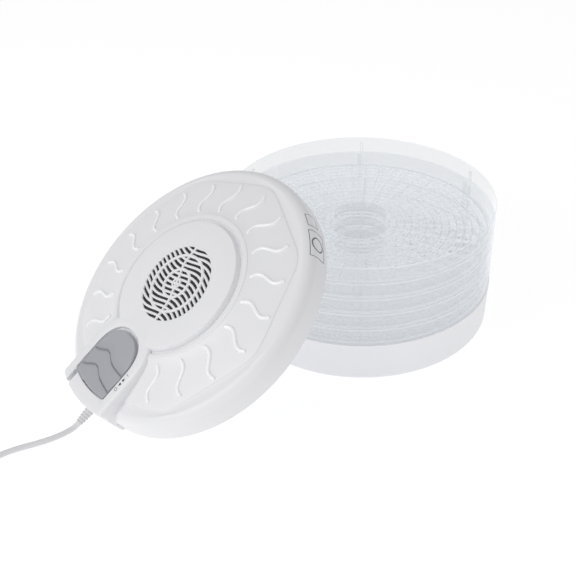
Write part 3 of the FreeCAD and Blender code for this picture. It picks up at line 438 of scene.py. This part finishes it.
def slotted_floor(build):
    """The tray's floor: rows of slots between 24 long and 24 short spokes, in one closed mesh."""
    floor_low, floor_top, _ = tray_levels()
    rows = 13
    slat = 3.0
    spoke = 2.4
    inner = RING - RING_WALL / 2
    outer = RIM - RIM_WALL - NEST_GAP - NEST_TAPER - NEST_WALL / 2
    first = RING + slat
    last = outer - slat - 0.5
    pitch = (last - first + slat) / rows
    ridge_wide = 1.5
    ridge_top = 1.0
    radii = [inner]
    for row in range(rows):
        radii += [first + row * pitch, first + (row + 1) * pitch - slat]
    radii.append(outer)
    spokes = 48
    columns = 3 * spokes    # each spoke has two side lines, and each gap a middle line
    short_from = 92.0       # every other spoke starts at this radius

    def angle(column, radius):
        which, part = divmod(column, 3)
        centre = 2 * math.pi * which / spokes
        side = math.asin(spoke / 2 / radius)
        if part == 0:
            return centre - side
        if part == 1:
            return centre + side
        return centre + math.pi / spokes

    def solid(row, column):
        if row % 2 == 0:
            return True
        which, part = divmod(column % columns, 3)
        if part:
            return False
        return which % 2 == 1 or radii[row] > short_from

    points = []
    for z in (floor_low, floor_top):
        for radius in radii:
            for column in range(columns):
                a = angle(column, radius)
                points.append((radius * math.cos(a), radius * math.sin(a), z))
    layer = len(radii) * columns

    def spot(level, row, column):
        return level * layer + row * columns + column % columns

    faces = []
    cells = len(radii) - 1
    for row in range(cells):
        for column in range(columns):
            if not solid(row, column):
                continue
            a, b = spot(0, row, column), spot(0, row, column + 1)
            c, d = spot(0, row + 1, column + 1), spot(0, row + 1, column)
            faces.append((a, b, c, d))
            faces.append(tuple(layer + corner for corner in (d, c, b, a)))
            if row == 0 or not solid(row - 1, column):
                faces.append((a, layer + a, layer + b, b))
            if row == cells - 1 or not solid(row + 1, column):
                faces.append((d, c, layer + c, layer + d))
            if not solid(row, column - 1):
                faces.append((a, d, layer + d, layer + a))
            if not solid(row, column + 1):
                faces.append((b, layer + b, layer + c, c))
    used = sorted({corner for face in faces for corner in face})
    renumber = {old: new for new, old in enumerate(used)}
    build.add([points[old] for old in used],
              [tuple(renumber[corner] for corner in face) for face in faces])
    for which in range(1, spokes, 2):
        build.block(RING - 0.4, outer - 1.0, width=ridge_wide, low=floor_top - 0.2,
                    high=floor_top + 1.0, angle=which * 360 / spokes, top_width=ridge_top)


def tray_mesh():
    """One clear tray: rim wall, ledge, nesting wall, slotted floor, ring, posts and tabs."""
    floor_low, floor_top, rim_top = tray_levels()
    build = Build()
    inner = RIM - RIM_WALL
    nest = inner - NEST_GAP
    foot = nest - NEST_TAPER
    build.lathe([
        (RIM, 0.5), (RIM, rim_top - 0.8), (RIM - 0.5, rim_top), (inner + 0.4, rim_top),
        (inner, rim_top - 0.6), (inner, LEDGE + 0.6), (inner - 0.6, LEDGE),
        (nest - NEST_WALL, LEDGE), (foot - NEST_WALL, floor_low), (foot - 0.3, floor_low),
        (foot, floor_low + 0.5), (nest, 0.0), (RIM - 0.5, 0.0)], 256)
    ring_inner = RING - RING_WALL
    ring_top = floor_top + RING_TALL
    build.lathe([(RING, floor_low + 0.1), (RING - 0.3, ring_top - 0.5), (RING - 0.7, ring_top),
                 (ring_inner + 0.3, ring_top), (ring_inner, ring_top - 0.5),
                 (ring_inner, floor_low + 0.1)], 128)
    slotted_floor(build)
    posts = 6
    first_post = 26.25
    post_depth = 2.4
    tab_tall = 13.0
    nest_inside = foot - NEST_WALL
    for count in range(posts):
        angle = first_post + count * 360 / posts
        build.block(nest_inside - post_depth, nest_inside + 0.9, width=5.0,
                    low=floor_top - 0.3, high=LEDGE - 0.4, angle=angle, top_width=4.4)
        for side in (-1, 1):
            build.block(nest + 0.4, inner + 0.4, width=1.1, low=LEDGE - 0.3,
                        high=LEDGE + tab_tall, angle=angle - 1.0 + side * 0.55, top_width=0.8)
    return build


def paint_edge_highlights(piece):
    """Painted highlight: the floor's upright sides, ledges and rim tops get a whiter, less see-through, glowing
    clear material that stands in for the bright light along clear plastic's edges.
    """
    mesh = piece.data
    mesh.materials.append(MATERIALS["clear_edge_highlight"])
    for polygon in mesh.polygons:
        radius = math.hypot(polygon.center.x, polygon.center.y) / MM
        upright = abs(polygon.normal.z) < 0.5
        floor_side = upright and RING + 1 < radius < RIM - 10
        upper_edge = polygon.normal.z > 0.5 and (radius > RIM - 8 or radius < RING + 0.5)
        if floor_side or upper_edge:
            polygon.material_index = 1


def make_trays():
    """Five clear trays of the same mould, each on the body of its own lift."""
    build = tray_mesh()
    for count in range(TRAYS):
        name = "tray_%d" % (count + 1)
        level = BASE_TALL + STACK_GAP + count * PITCH
        piece = new_piece("clear_" + name, build.points, build.faces, "clear_plastic", name,
                          Matrix.Translation((0, 0, level * MM)))
        paint_edge_highlights(piece)
        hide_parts(name)


# ---------------------------------------------------------------- lid

SHELL_WALL = 2.2
CONE_START = 96.0      # the face slopes down from this radius to the shoulder
CONE_DROP = 2.5
CONE_SLOPE = 0.167
BORDER = 141.0         # from the lid's axis to the sides of the eight-sided border
SHOULDER = (151.0, -25.3)   # radius and height of the middle of the shoulder's bend
SHOULDER_BEND = 13.8


def cone_height(radius):
    """Height of the sloping face at a radius."""
    return -CONE_DROP - CONE_SLOPE * (radius - CONE_START)


def border_radius(angle):
    """The face's border at an angle: an octagon with rounded corners."""
    sides = 8
    first_side = math.radians(22.5)
    sharpness = 24
    total = 0.0
    for side in range(sides):
        reach = math.cos(angle - first_side - 2 * math.pi * side / sides)
        if reach > 0:
            total += (reach / BORDER) ** sharpness
    return total ** (-1 / sharpness)


def cover_profile(angle):
    """(radius, height) outline of the lid's shell at one angle, closed over its thickness."""
    border = border_radius(angle)
    step = 1.0
    profile = [(OPENING, CHANNEL_FLOOR - 0.2), (OPENING + 0.3, CHANNEL_FLOOR),
               (CHANNEL - 1.2, CHANNEL_FLOOR), (CHANNEL + 0.2, -0.4), (CHANNEL + 0.8, 0.0),
               (DECK - 0.5, 0.0), (DECK + 0.1, -0.25), (DECK + 0.6, -1.0), (DECK + 1.2, -1.15),
               (CONE_START, -CONE_DROP)]
    for share in (0.25, 0.5, 0.75):
        radius = CONE_START + (border - 1.4 - CONE_START) * share
        profile.append((radius, cone_height(radius)))
    for offset, drop in ((-1.2, 0.0), (-0.6, 0.08), (-0.2, 0.35), (0.2, 0.85), (0.6, step),
                         (1.5, step)):
        profile.append((border + offset, cone_height(border + offset) - drop))
    top_angle = 90 - math.degrees(math.atan(CONE_SLOPE))
    arc = arc_points(SHOULDER, SHOULDER_BEND, top_angle - 2, 3, 12)
    start = border + 1.5
    for share in (0.35, 0.7):
        radius = start + (arc[0][0] - start) * share
        drop = step * (1 - share)
        profile.append((radius, cone_height(radius) - drop))
    profile += arc
    profile += [(RIM, -30.0), (RIM, -LID_DEPTH + 0.8), (RIM - 0.6, -LID_DEPTH)]
    inside = RIM - SHELL_WALL
    profile += [(inside + 0.4, -LID_DEPTH), (inside, -LID_DEPTH + 0.6), (inside, -30.0)]
    profile += arc_points(SHOULDER, SHOULDER_BEND - SHELL_WALL, 3, top_angle - 2, 8)
    profile += [(CONE_START, -CONE_DROP - SHELL_WALL), (DECK, -5.2), (OPENING, -5.2)]
    return profile


def pod_loop(half, apex, foot, z, corner=4.0, reach=56.0, squareness=3.0):
    """Closed plan of the pod at one height: full arch toward the middle, sides and a round foot."""
    centre = -(apex + reach)
    points = []
    arch_steps = 48
    power = 2 / squareness
    for step in range(arch_steps + 1):
        angle = math.pi * step / arch_steps
        side = math.copysign(abs(math.cos(angle)) ** power, math.cos(angle))
        points.append((half * side, centre + reach * max(0.0, math.sin(angle)) ** power, z))
    side_end = -math.sqrt(foot * foot - half * half)
    side_steps = 8
    for step in range(1, side_steps + 1):
        points.append((-half, centre + (side_end + corner - centre) * step / side_steps, z))
    sweep = math.asin((half - corner) / foot)
    foot_points = []
    foot_steps = 24
    for step in range(foot_steps + 1):
        angle = -sweep + 2 * sweep * step / foot_steps
        foot_points.append((foot * math.sin(angle), -foot * math.cos(angle), z))
    tip = (-half, side_end, z)
    points += bend(points[-1], tip, foot_points[0])
    points += foot_points
    far_tip = (half, side_end, z)
    points += bend(foot_points[-1], far_tip, (half, side_end + corner, z))
    for step in range(side_steps, 0, -1):
        points.append((half, centre + (side_end + corner - centre) * step / side_steps, z))
    return points


def bend(start, tip, end):
    """Three points that round a corner between two others."""
    points = []
    for t in (0.25, 0.5, 0.75):
        points.append(tuple((1 - t) ** 2 * a + 2 * t * (1 - t) * b + t * t * c
                            for a, b, c in zip(start, tip, end)))
    return points


def cut_for_pod(piece):
    """Take the room below the pod out of the cover or the panel."""
    loops = [pod_loop(42.0, 68.0, 158.0, z) for z in (-20.0, 12.0)]
    cut_away(piece, *loft(loops))


def swirl_rib(build, angle):
    """One raised S-shaped rib on the lid's cone, rounded in section and at its ends."""
    inner = 96.5
    outer = 139.0
    width = 4.4
    height = 2.0
    sink = 0.05
    under = 0.9
    waver = 4.5
    lean = 3
    stations = 30
    across = 8
    rows = []
    turn = math.radians(angle)
    for station in range(stations + 1):
        s = station / stations
        radius = inner + (outer - inner) * s
        side = 1 + waver * math.sin(2 * math.pi * s) - lean * s
        slope = (waver * 2 * math.pi * math.cos(2 * math.pi * s) - lean) / (outer - inner)
        along = Vector((1, slope)).normalized()
        end = min(s, 1 - s) * (outer - inner) / (width / 2)
        swell = math.sqrt(max(0.0, 1 - (1 - min(1.0, end)) ** 2))
        row = []
        for step in range(across + 1):
            share = 2 * step / across - 1
            offset = share * width / 2 * max(swell, 0.06)
            x = radius - along.y * offset
            y = side + along.x * offset
            lift = height * swell * math.sqrt(max(0.0, 1 - share * share)) ** 0.9
            row.append((x, y, cone_height(math.hypot(x, y)) + lift - sink))
        row += [(x, y, z - under) for x, y, z in (row[-1], row[0])]
        rows.append([(x * math.cos(turn) - y * math.sin(turn),
                      x * math.sin(turn) + y * math.cos(turn), z) for x, y, z in row])
    build.add(*loft(rows))


def make_cover():
    """The lid's shell with its border step, cut for the pod, and its seventeen raised ribs."""
    count = 360
    profiles = [cover_profile(2 * math.pi * spot / count) for spot in range(count)]
    points = []
    for row in range(len(profiles[0])):
        for spot in range(count):
            r, z = profiles[spot][row]
            angle = 2 * math.pi * spot / count
            points.append((r * math.cos(angle), r * math.sin(angle), z))
    faces = loop_faces(len(profiles[0]), count)
    cover = lid_piece("lid_cover_shell", points, faces, "white_plastic")
    cut_for_pod(cover)
    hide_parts("lid_top_cover")
    build = Build()
    pod_angles = (252, 270, 288)
    for angle in range(0, 360, 18):
        if angle not in pod_angles:
            swirl_rib(build, angle)
    # The ribs' lighter white is a painted highlight
    lid_piece("lid_swirl_ribs", build.points, build.faces, "rib_highlight_white")


def rounded_strip(build, path, width, top, depth, closed=False, sections=8):
    """A bar with a rounded top along a flat path of (x, y) points, at a height in the lid."""
    count = len(path)
    rounding = 0.9
    rows = []
    for spot, here in enumerate(path):
        before = path[spot - 1] if closed or spot else here
        after = path[(spot + 1) % count] if closed or spot < count - 1 else here
        along = Vector((after[0] - before[0], after[1] - before[1])).normalized()
        row = []
        for step in range(sections + 1):
            share = 2 * step / sections - 1
            offset = share * width / 2
            drop = rounding * (1 - math.sqrt(max(0.0, 1 - share * share)))
            row.append((here[0] - along.y * offset, here[1] + along.x * offset, top - drop))
        row += [(x, y, top - depth) for x, y, _ in (row[-1], row[0])]
        rows.append(row)
    build.add(*loft(rows, closed))


def circle_path(radius, count=96, middle=(0.0, 0.0)):
    """Points (x, y) round a circle."""
    path = []
    for step in range(count):
        angle = 2 * math.pi * step / count
        path.append((middle[0] + radius * math.cos(angle), middle[1] + radius * math.sin(angle)))
    return path


def make_panel():
    """The raised round panel: plate, wavy grille bars, three rings and an S-shaped spine."""
    top = PANEL_TALL
    under = top - 2.2
    plate_inner = 47.0
    plate_foot = PANEL + 2.6
    lip = OPENING - 0.3
    lip_inner = OPENING - 2.3
    outline = [
        (plate_inner, under), (plate_inner, top - 0.5), (plate_inner + 0.6, top),
        (PANEL - 0.6, top), (PANEL, top - 0.15), (PANEL + 0.5, top - 0.8),
        (plate_foot, -2.6), (plate_foot, -3.1), (lip, -3.1), (lip, -4.0), (lip_inner, -4.0),
        (lip_inner, under)]
    plate = lid_piece("grille_plate", *lathe(outline, 256), "white_plastic")
    cut_for_pod(plate)
    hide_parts("grille_panel")
    build = Build()
    reach = 50.3
    pitch = 6.1
    bars = 9
    bar_width = 2.9
    bar_top = top + 0.28
    bar_depth = 2.4
    wave = 3.8
    wave_length = 76.0
    steps = 60
    for row in range(-bars, bars + 1):
        path = []
        for step in range(steps + 1):
            x = reach * (2 * step / steps - 1)
            y = -3.5 + (row + 0.5) * pitch + wave * math.sin(2 * math.pi * x / wave_length)
            if math.hypot(x, y) < reach:
                path.append((x, y))
        if len(path) > 4:
            rounded_strip(build, path, bar_width, bar_top, bar_depth)
    proud = top + 0.5
    depth = 2.7
    for radius, width in ((5.2, 2.6), (17.7, 3.2), (35.5, 3.4)):
        rounded_strip(build, circle_path(radius), width, proud, depth, closed=True)
    spine = ((-13.4, 47), (-13.2, 36), (-12.3, 25), (-10.4, 19), (-7.3, 13.6), (-3.2, 7), (0, 0),
             (3.2, -7), (7, -13.6), (9.4, -19), (11, -25), (12.8, -36), (13.8, -47))
    rounded_strip(build, spine, 3.0, proud, depth)
    lid_piece("grille_bars", build.points, build.faces, "white_plastic")
    # Painted shade: a black disc under the grille bars stands for the dark inside of the lid seen through the
    # grille
    shade_reach = 48.6
    shade_disc = lathe([(AXIS, 0.7), (shade_reach, 0.7), (shade_reach, 0.3), (AXIS, 0.3)], 96)
    lid_piece("grille_shade_disc", *shade_disc, "black_plastic", "black_plastic")


def make_pod():
    """The control pod: drafted walls, rounded top edge, sunk bed for the cap, apron, groove."""
    foot = 168.0
    arch = {"reach": 38.0, "squareness": 2.3, "corner": 3.0}
    loops = [pod_loop(47.2, 63.4, foot - 3.4, -23.9), pod_loop(49.4, 60.8, foot, -24.0),
             pod_loop(49.2, 61.0, foot, -8.0), pod_loop(48.4, 61.6, foot, 0.2),
             pod_loop(47.6, 62.0, foot - 0.2, 1.7), pod_loop(46.4, 62.8, foot - 0.8, 2.6),
             pod_loop(44.6, 64.4, foot - 2.2, 3.05), pod_loop(41.0, 67.6, foot - 8.0, 3.1),
             pod_loop(36.3, 71.3, 151.9, 3.05, **arch), pod_loop(35.6, 72.0, 151.2, 2.6, **arch),
             pod_loop(35.3, 72.3, 150.9, -1.0, **arch)]
    pod = lid_piece("pod_shell", *loft(loops), "white_plastic")
    left = -33.6
    right = -26.2
    groove = ((left, -172), (right, -172), (right, -148), (left, -148))
    cut_away(pod, [(x, y, z) for z in (-6.0, 9.0) for x, y in groove], BOX_FACES)
    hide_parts("control_housing")
    make_apron(foot)


def make_apron(foot):
    """The pod's skirt, which carries its front down over the lid's wall."""
    half_width = 49.2
    back = RIM + 0.15
    steps = 24
    rows = []
    for z, front in ((-13.0, foot), (-36.5, foot), (-37.7, foot - 1.0)):
        for radius in (back, front):
            half = math.asin(half_width / radius)
            row = []
            for step in range(steps + 1):
                angle = -half + 2 * half * step / steps
                row.append((radius * math.sin(angle), -radius * math.cos(angle), z))
            rows.append(row)
    down_the_back = rows[0::2]
    up_the_front = rows[::-2]
    sections = list(zip(*down_the_back, *up_the_front))
    lid_piece("pod_apron", *loft(sections), "white_plastic")


def cap_wave(x):
    """How far the cap's ridges swing toward the middle of the lid, at a place across the cap."""
    return 8.0 * math.exp(-((x + 8.0) / 13.0) ** 2)


def ridge(distance):
    """Height of a finger ridge at a distance below its line: a raised lip, then a groove."""
    if distance < -9:
        return 0.0
    if distance < -0.6:
        return ((distance + 9) / 8.4) ** 2
    if distance < 0.3:
        return 1.0 - 3.8 * (distance + 0.6) / 0.9
    if distance < 1.2:
        return -2.8
    if distance < 2.0:
        return -2.8 + 1.8 * (distance - 1.2) / 0.8
    if distance < 14:
        return -(14 - distance) / 12
    return 0.0


def make_cap():
    """The grey slide cap: crowned top with two wavy finger ridges, rounded edges."""
    half = 33.4
    apex = 76.4
    foot = 149.6
    squareness = 2.3
    centre = -(apex + 36.0)
    bed = 1.7
    side_tall = 1.4
    crown_tall = 1.6
    rounding = 2.2
    ridge_lines = (-113.6, -133.8)
    across = 44
    rows = 230
    levels = []
    for row in range(rows + 1):
        share = row / rows
        levels.append(-apex - 0.05 - (foot - apex - 0.1) * (1 - math.cos(math.pi * share)) / 2)
    top = []
    for level in levels:
        blend_in = min(1.0, max(0.0, (-level - 86) / 16)) * min(1.0, max(0.0, (level + foot) / 9))
        line = []
        for step in range(across + 1):
            if level > centre:
                share_up = (level - centre) / (-apex - centre)
                width = half * max(0.0, 1 - share_up ** squareness) ** (1 / squareness)
            else:
                width = half
            x = math.sin(math.pi / 2 * (2 * step / across - 1)) * width
            y = level + cap_wave(x) * blend_in
            if level <= centre:
                fall = math.sqrt(foot * foot - x * x) - foot
                y += fall * min(1.0, max(0.0, (centre - level) / 30.0))
            edge = min(width - abs(x), -apex - y, y + math.sqrt(foot * foot - x * x))
            soft = math.sqrt(max(0.0, 1 - (1 - min(1.0, max(0.0, edge) / rounding)) ** 2))
            crown = crown_tall * (1 - (x / half) ** 2)
            lift = sum(ridge(line_place - level) for line_place in ridge_lines)
            z = bed + (side_tall + crown + lift * min(1.0, soft + 0.1)) * soft
            line.append((x, y, z))
        top.append(line)
    build = Build()
    points = [point for line in top for point in line]
    faces = grid_quads(rows, across)
    border = grid_border(rows, across)
    underside = -0.6
    first = len(points)
    points += [(points[spot][0], points[spot][1], underside) for spot in border]
    for spot in range(len(border)):
        after = (spot + 1) % len(border)
        faces.append((border[spot], border[after], first + after, first + spot))
    faces.append(tuple(range(first, first + len(border))))
    build.add(points, faces)
    stem = Build()
    stem.block(-4, 4, width=6.0, low=-5.7, high=-0.5, angle=0, top_width=6.0)
    stem_place = -112.0
    build.add([(x, y + stem_place, z) for x, y, z in stem.points], stem.faces)
    cap = new_piece("slide_cap", build.points, build.faces, "grey_plastic", "switch",
                    LID)
    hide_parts("switch_cap")


def shell_point(angle, along, lift):
    """Point on or above the lid's shoulder and wall, along millimetres over the bend and down."""
    start = math.radians(64)    # along is measured from this far up the bend
    bend_radius = SHOULDER_BEND + lift
    turn = along / SHOULDER_BEND
    if turn < start:
        radius = SHOULDER[0] + bend_radius * math.cos(start - turn)
        z = SHOULDER[1] + bend_radius * math.sin(start - turn)
    else:
        radius = RIM + lift
        z = SHOULDER[1] - (along - start * SHOULDER_BEND)
    around = math.radians(angle)
    return (radius * math.cos(around), radius * math.sin(around), z)


def shell_patch(build, first_angle, last_angle, first, last, lift):
    """A thin patch on the shoulder, between two angles in degrees and two places along it."""
    columns = 12
    rows = 12
    sunk = lift - 0.6
    points = []
    for height in (lift, sunk):
        for row in range(rows + 1):
            for column in range(columns + 1):
                angle = first_angle + (last_angle - first_angle) * column / columns
                points.append(shell_point(angle, first + (last - first) * row / rows, height))
    layer = (rows + 1) * (columns + 1)
    faces = []
    for quad in grid_quads(rows, columns):
        faces.append(quad)
        faces.append(tuple(layer + corner for corner in quad[::-1]))
    edge = grid_border(rows, columns)
    for spot, here in enumerate(edge):
        there = edge[(spot + 1) % len(edge)]
        faces.append((here, there, layer + there, layer + here))
    build.add(points, faces)


def make_labels():
    """Two blank labels with a thin printed frame on the lid's shoulder, the larger with a ring."""
    paper = Build()
    print_lines = Build()
    paper_lift = 0.12
    print_lift = 0.17
    dot_lift = 0.18
    margin = 0.5
    line_end = 2.2 * margin
    turn = math.degrees(margin / RIM)
    turn_end = 2.2 * turn
    for left, right, top, foot in ((46.5, 59.0, 4.0, 28.0), (61.0, 67.5, 5.0, 22.0)):
        shell_patch(paper, left, right, top, foot, paper_lift)
        for line in ((left + turn, left + turn_end, top + margin, foot - margin),
                     (right - turn_end, right - turn, top + margin, foot - margin),
                     (left + turn, right - turn, top + margin, top + line_end),
                     (left + turn, right - turn, foot - line_end, foot - margin)):
            shell_patch(print_lines, *line, print_lift)
    ring = 8.5
    ring_angle = 52.75
    ring_along = 16.0
    dots = 28
    for dot in range(dots):
        angle = 2 * math.pi * dot / dots
        around = ring_angle + math.degrees(ring / RIM) * math.cos(angle)
        along = ring_along + ring * math.sin(angle)
        shell_patch(print_lines, around - 0.25, around + 0.25, along - 0.8, along + 0.8,
                    dot_lift)
    lid_piece("blank_labels", paper.points, paper.faces, "white_plastic")
    lid_piece("label_frames", print_lines.points, print_lines.faces, "black_plastic",
              "black_plastic")


def make_marks():
    """Plain marks beside the cap: a bar, a ring and a triangle that points to each of them."""
    build = Build()
    z = 3.16
    depth = 0.4
    middle = 40.3
    rounded_strip(build, [(38.2, -108.4), (42.4, -108.4)], 1.7, z, depth)
    rounded_strip(build, circle_path(1.9, 32, (middle, -128.0)), 1.5, z, depth, closed=True)
    for tip, foot in ((-112.6, -116.6), (-123.6, -119.6)):
        corners = ((38.4, foot), (42.2, foot), (middle, tip))
        points = [(x, y, z - down) for down in (0.0, depth) for x, y in corners]
        build.add(points, [(0, 1, 2), (5, 4, 3), (0, 3, 4, 1), (1, 4, 5, 2), (2, 5, 3, 0)])
    lid_piece("switch_marks", build.points, build.faces, "black_plastic", "black_plastic")


# ---------------------------------------------------------------- mains lead

# The lead's points are in millimetres in the shared frame: first from the lid to the coil, then,
# measured from the coil's middle, the tail from the coil to the plug.
CORD_RADIUS = 3.25
CORD_ROUTE = (
    (-328.1, -234.4, 7.9), (-333.3, -237.7, 3.3), (-342.2, -246.2, 3.3), (-354.6, -254.8, 3.3),
    (-370.4, -262.2, 3.3), (-391.0, -269.8, 3.3), (-412.2, -281.6, 3.3), (-431.4, -299.6, 3.3))
COIL_CENTRE = (-482.6, -295.9)
TAIL_ROUTE = ((-43.0, 22.0, 9.0), (-33.0, 43.0, 7.8), (-13.0, 56.0, 7.2))


def coil_route():
    """The put-away turns: six places in the bundle, with a short change over between places."""
    outer = 42.4
    inner = 35.7
    low = 3.3
    middle = 9.8
    high = 16.3
    places = ((outer, low), (inner, low), (inner, middle), (inner, high), (outer, high),
              (outer, middle))
    turns = 5.39
    per_place = turns / len(places)
    change = 0.1
    per_turn = 24
    start = math.radians(-39.7)
    count = round(turns * per_turn)
    points = []
    for step in range(count + 1):
        turned = turns * step / count
        place = min(len(places) - 1, int(turned / per_place))
        left = (place + 1) * per_place - turned
        share = max(0.0, 1 - left / change)
        share = share * share * (3 - 2 * share)
        after = min(len(places) - 1, place + 1)
        radius = places[place][0] * (1 - share) + places[after][0] * share
        height = places[place][1] * (1 - share) + places[after][1] * share
        angle = start - 2 * math.pi * turned
        points.append((COIL_CENTRE[0] + radius * math.cos(angle),
                       COIL_CENTRE[1] + radius * math.sin(angle), height))
    return points


def make_cord():
    """One lead from the strain relief, along the table, around the bundle and into the plug."""
    route = list(CORD_ROUTE) + coil_route()
    route += [(COIL_CENTRE[0] + x, COIL_CENTRE[1] + y, z) for x, y, z in TAIL_ROUTE]
    curve = bpy.data.curves.new("mains_lead", "CURVE")
    curve.dimensions = "3D"
    curve.bevel_depth = CORD_RADIUS * MM
    curve.bevel_resolution = 4
    curve.resolution_u = 6
    curve.use_fill_caps = True
    spline = curve.splines.new("NURBS")
    spline.points.add(len(route) - 1)
    for spot, place in zip(spline.points, route):
        spot.co = (*[c * MM for c in place], 1)
    spline.order_u = 3
    spline.use_endpoint_u = True
    curve.materials.append(MATERIALS["cord_rubber"])
    cord = bpy.data.objects.new("mains_lead", curve)
    bpy.context.scene.collection.objects.link(cord)
    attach(cord, "lid")
    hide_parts("cord", "cord_coil")


def make_relief():
    """The tapered, ribbed sleeve where the lead leaves the lid's edge."""
    across = 8.0
    height = -18.0
    wall = 163.0
    start = 168.0
    tip = 188.0
    collar = 7.0
    thick = 5.9
    taper = 1.6
    outline = [(AXIS, wall), (collar, wall), (collar, 166.4), (6.4, 166.9), (thick, 167.2)]
    ribs = 5
    groove = 0.9
    rib_pitch = (tip - 1.0 - start) / ribs
    for rib in range(ribs):
        for part, depth in ((0.0, 0.0), (0.45, 0.0), (0.55, groove), (0.88, groove)):
            along = start + (rib + part) * rib_pitch
            radius = thick - taper * (along - start) / (tip - start)
            outline.append((radius - depth, along))
    outline += [(4.35, tip - 0.9), (4.1, tip), (AXIS, tip)]
    points, faces = lathe(outline, 40)
    turned = [(across + x, -z, height + y) for x, y, z in points]
    relief = lid_piece("lead_sleeve", turned, faces, "sleeve_rubber", "cord_rubber")
    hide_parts("strain_relief")


def dress_cad():
    """Every CAD piece gets the material of its slot in the record."""
    for entry in frame["record"]["subparts"]:
        data = NODES[entry["node"]].data
        data.materials.clear()
        data.materials.append(MATERIALS[entry["material_slot"]])


MATERIALS = make_materials()
LID = lid_matrix()
make_camera()
make_surroundings()
make_floor()
make_lights()
dress_cad()
make_base()
make_trays()
make_cover()
make_panel()
make_pod()
make_cap()
make_marks()
make_labels()
make_relief()
make_cord()
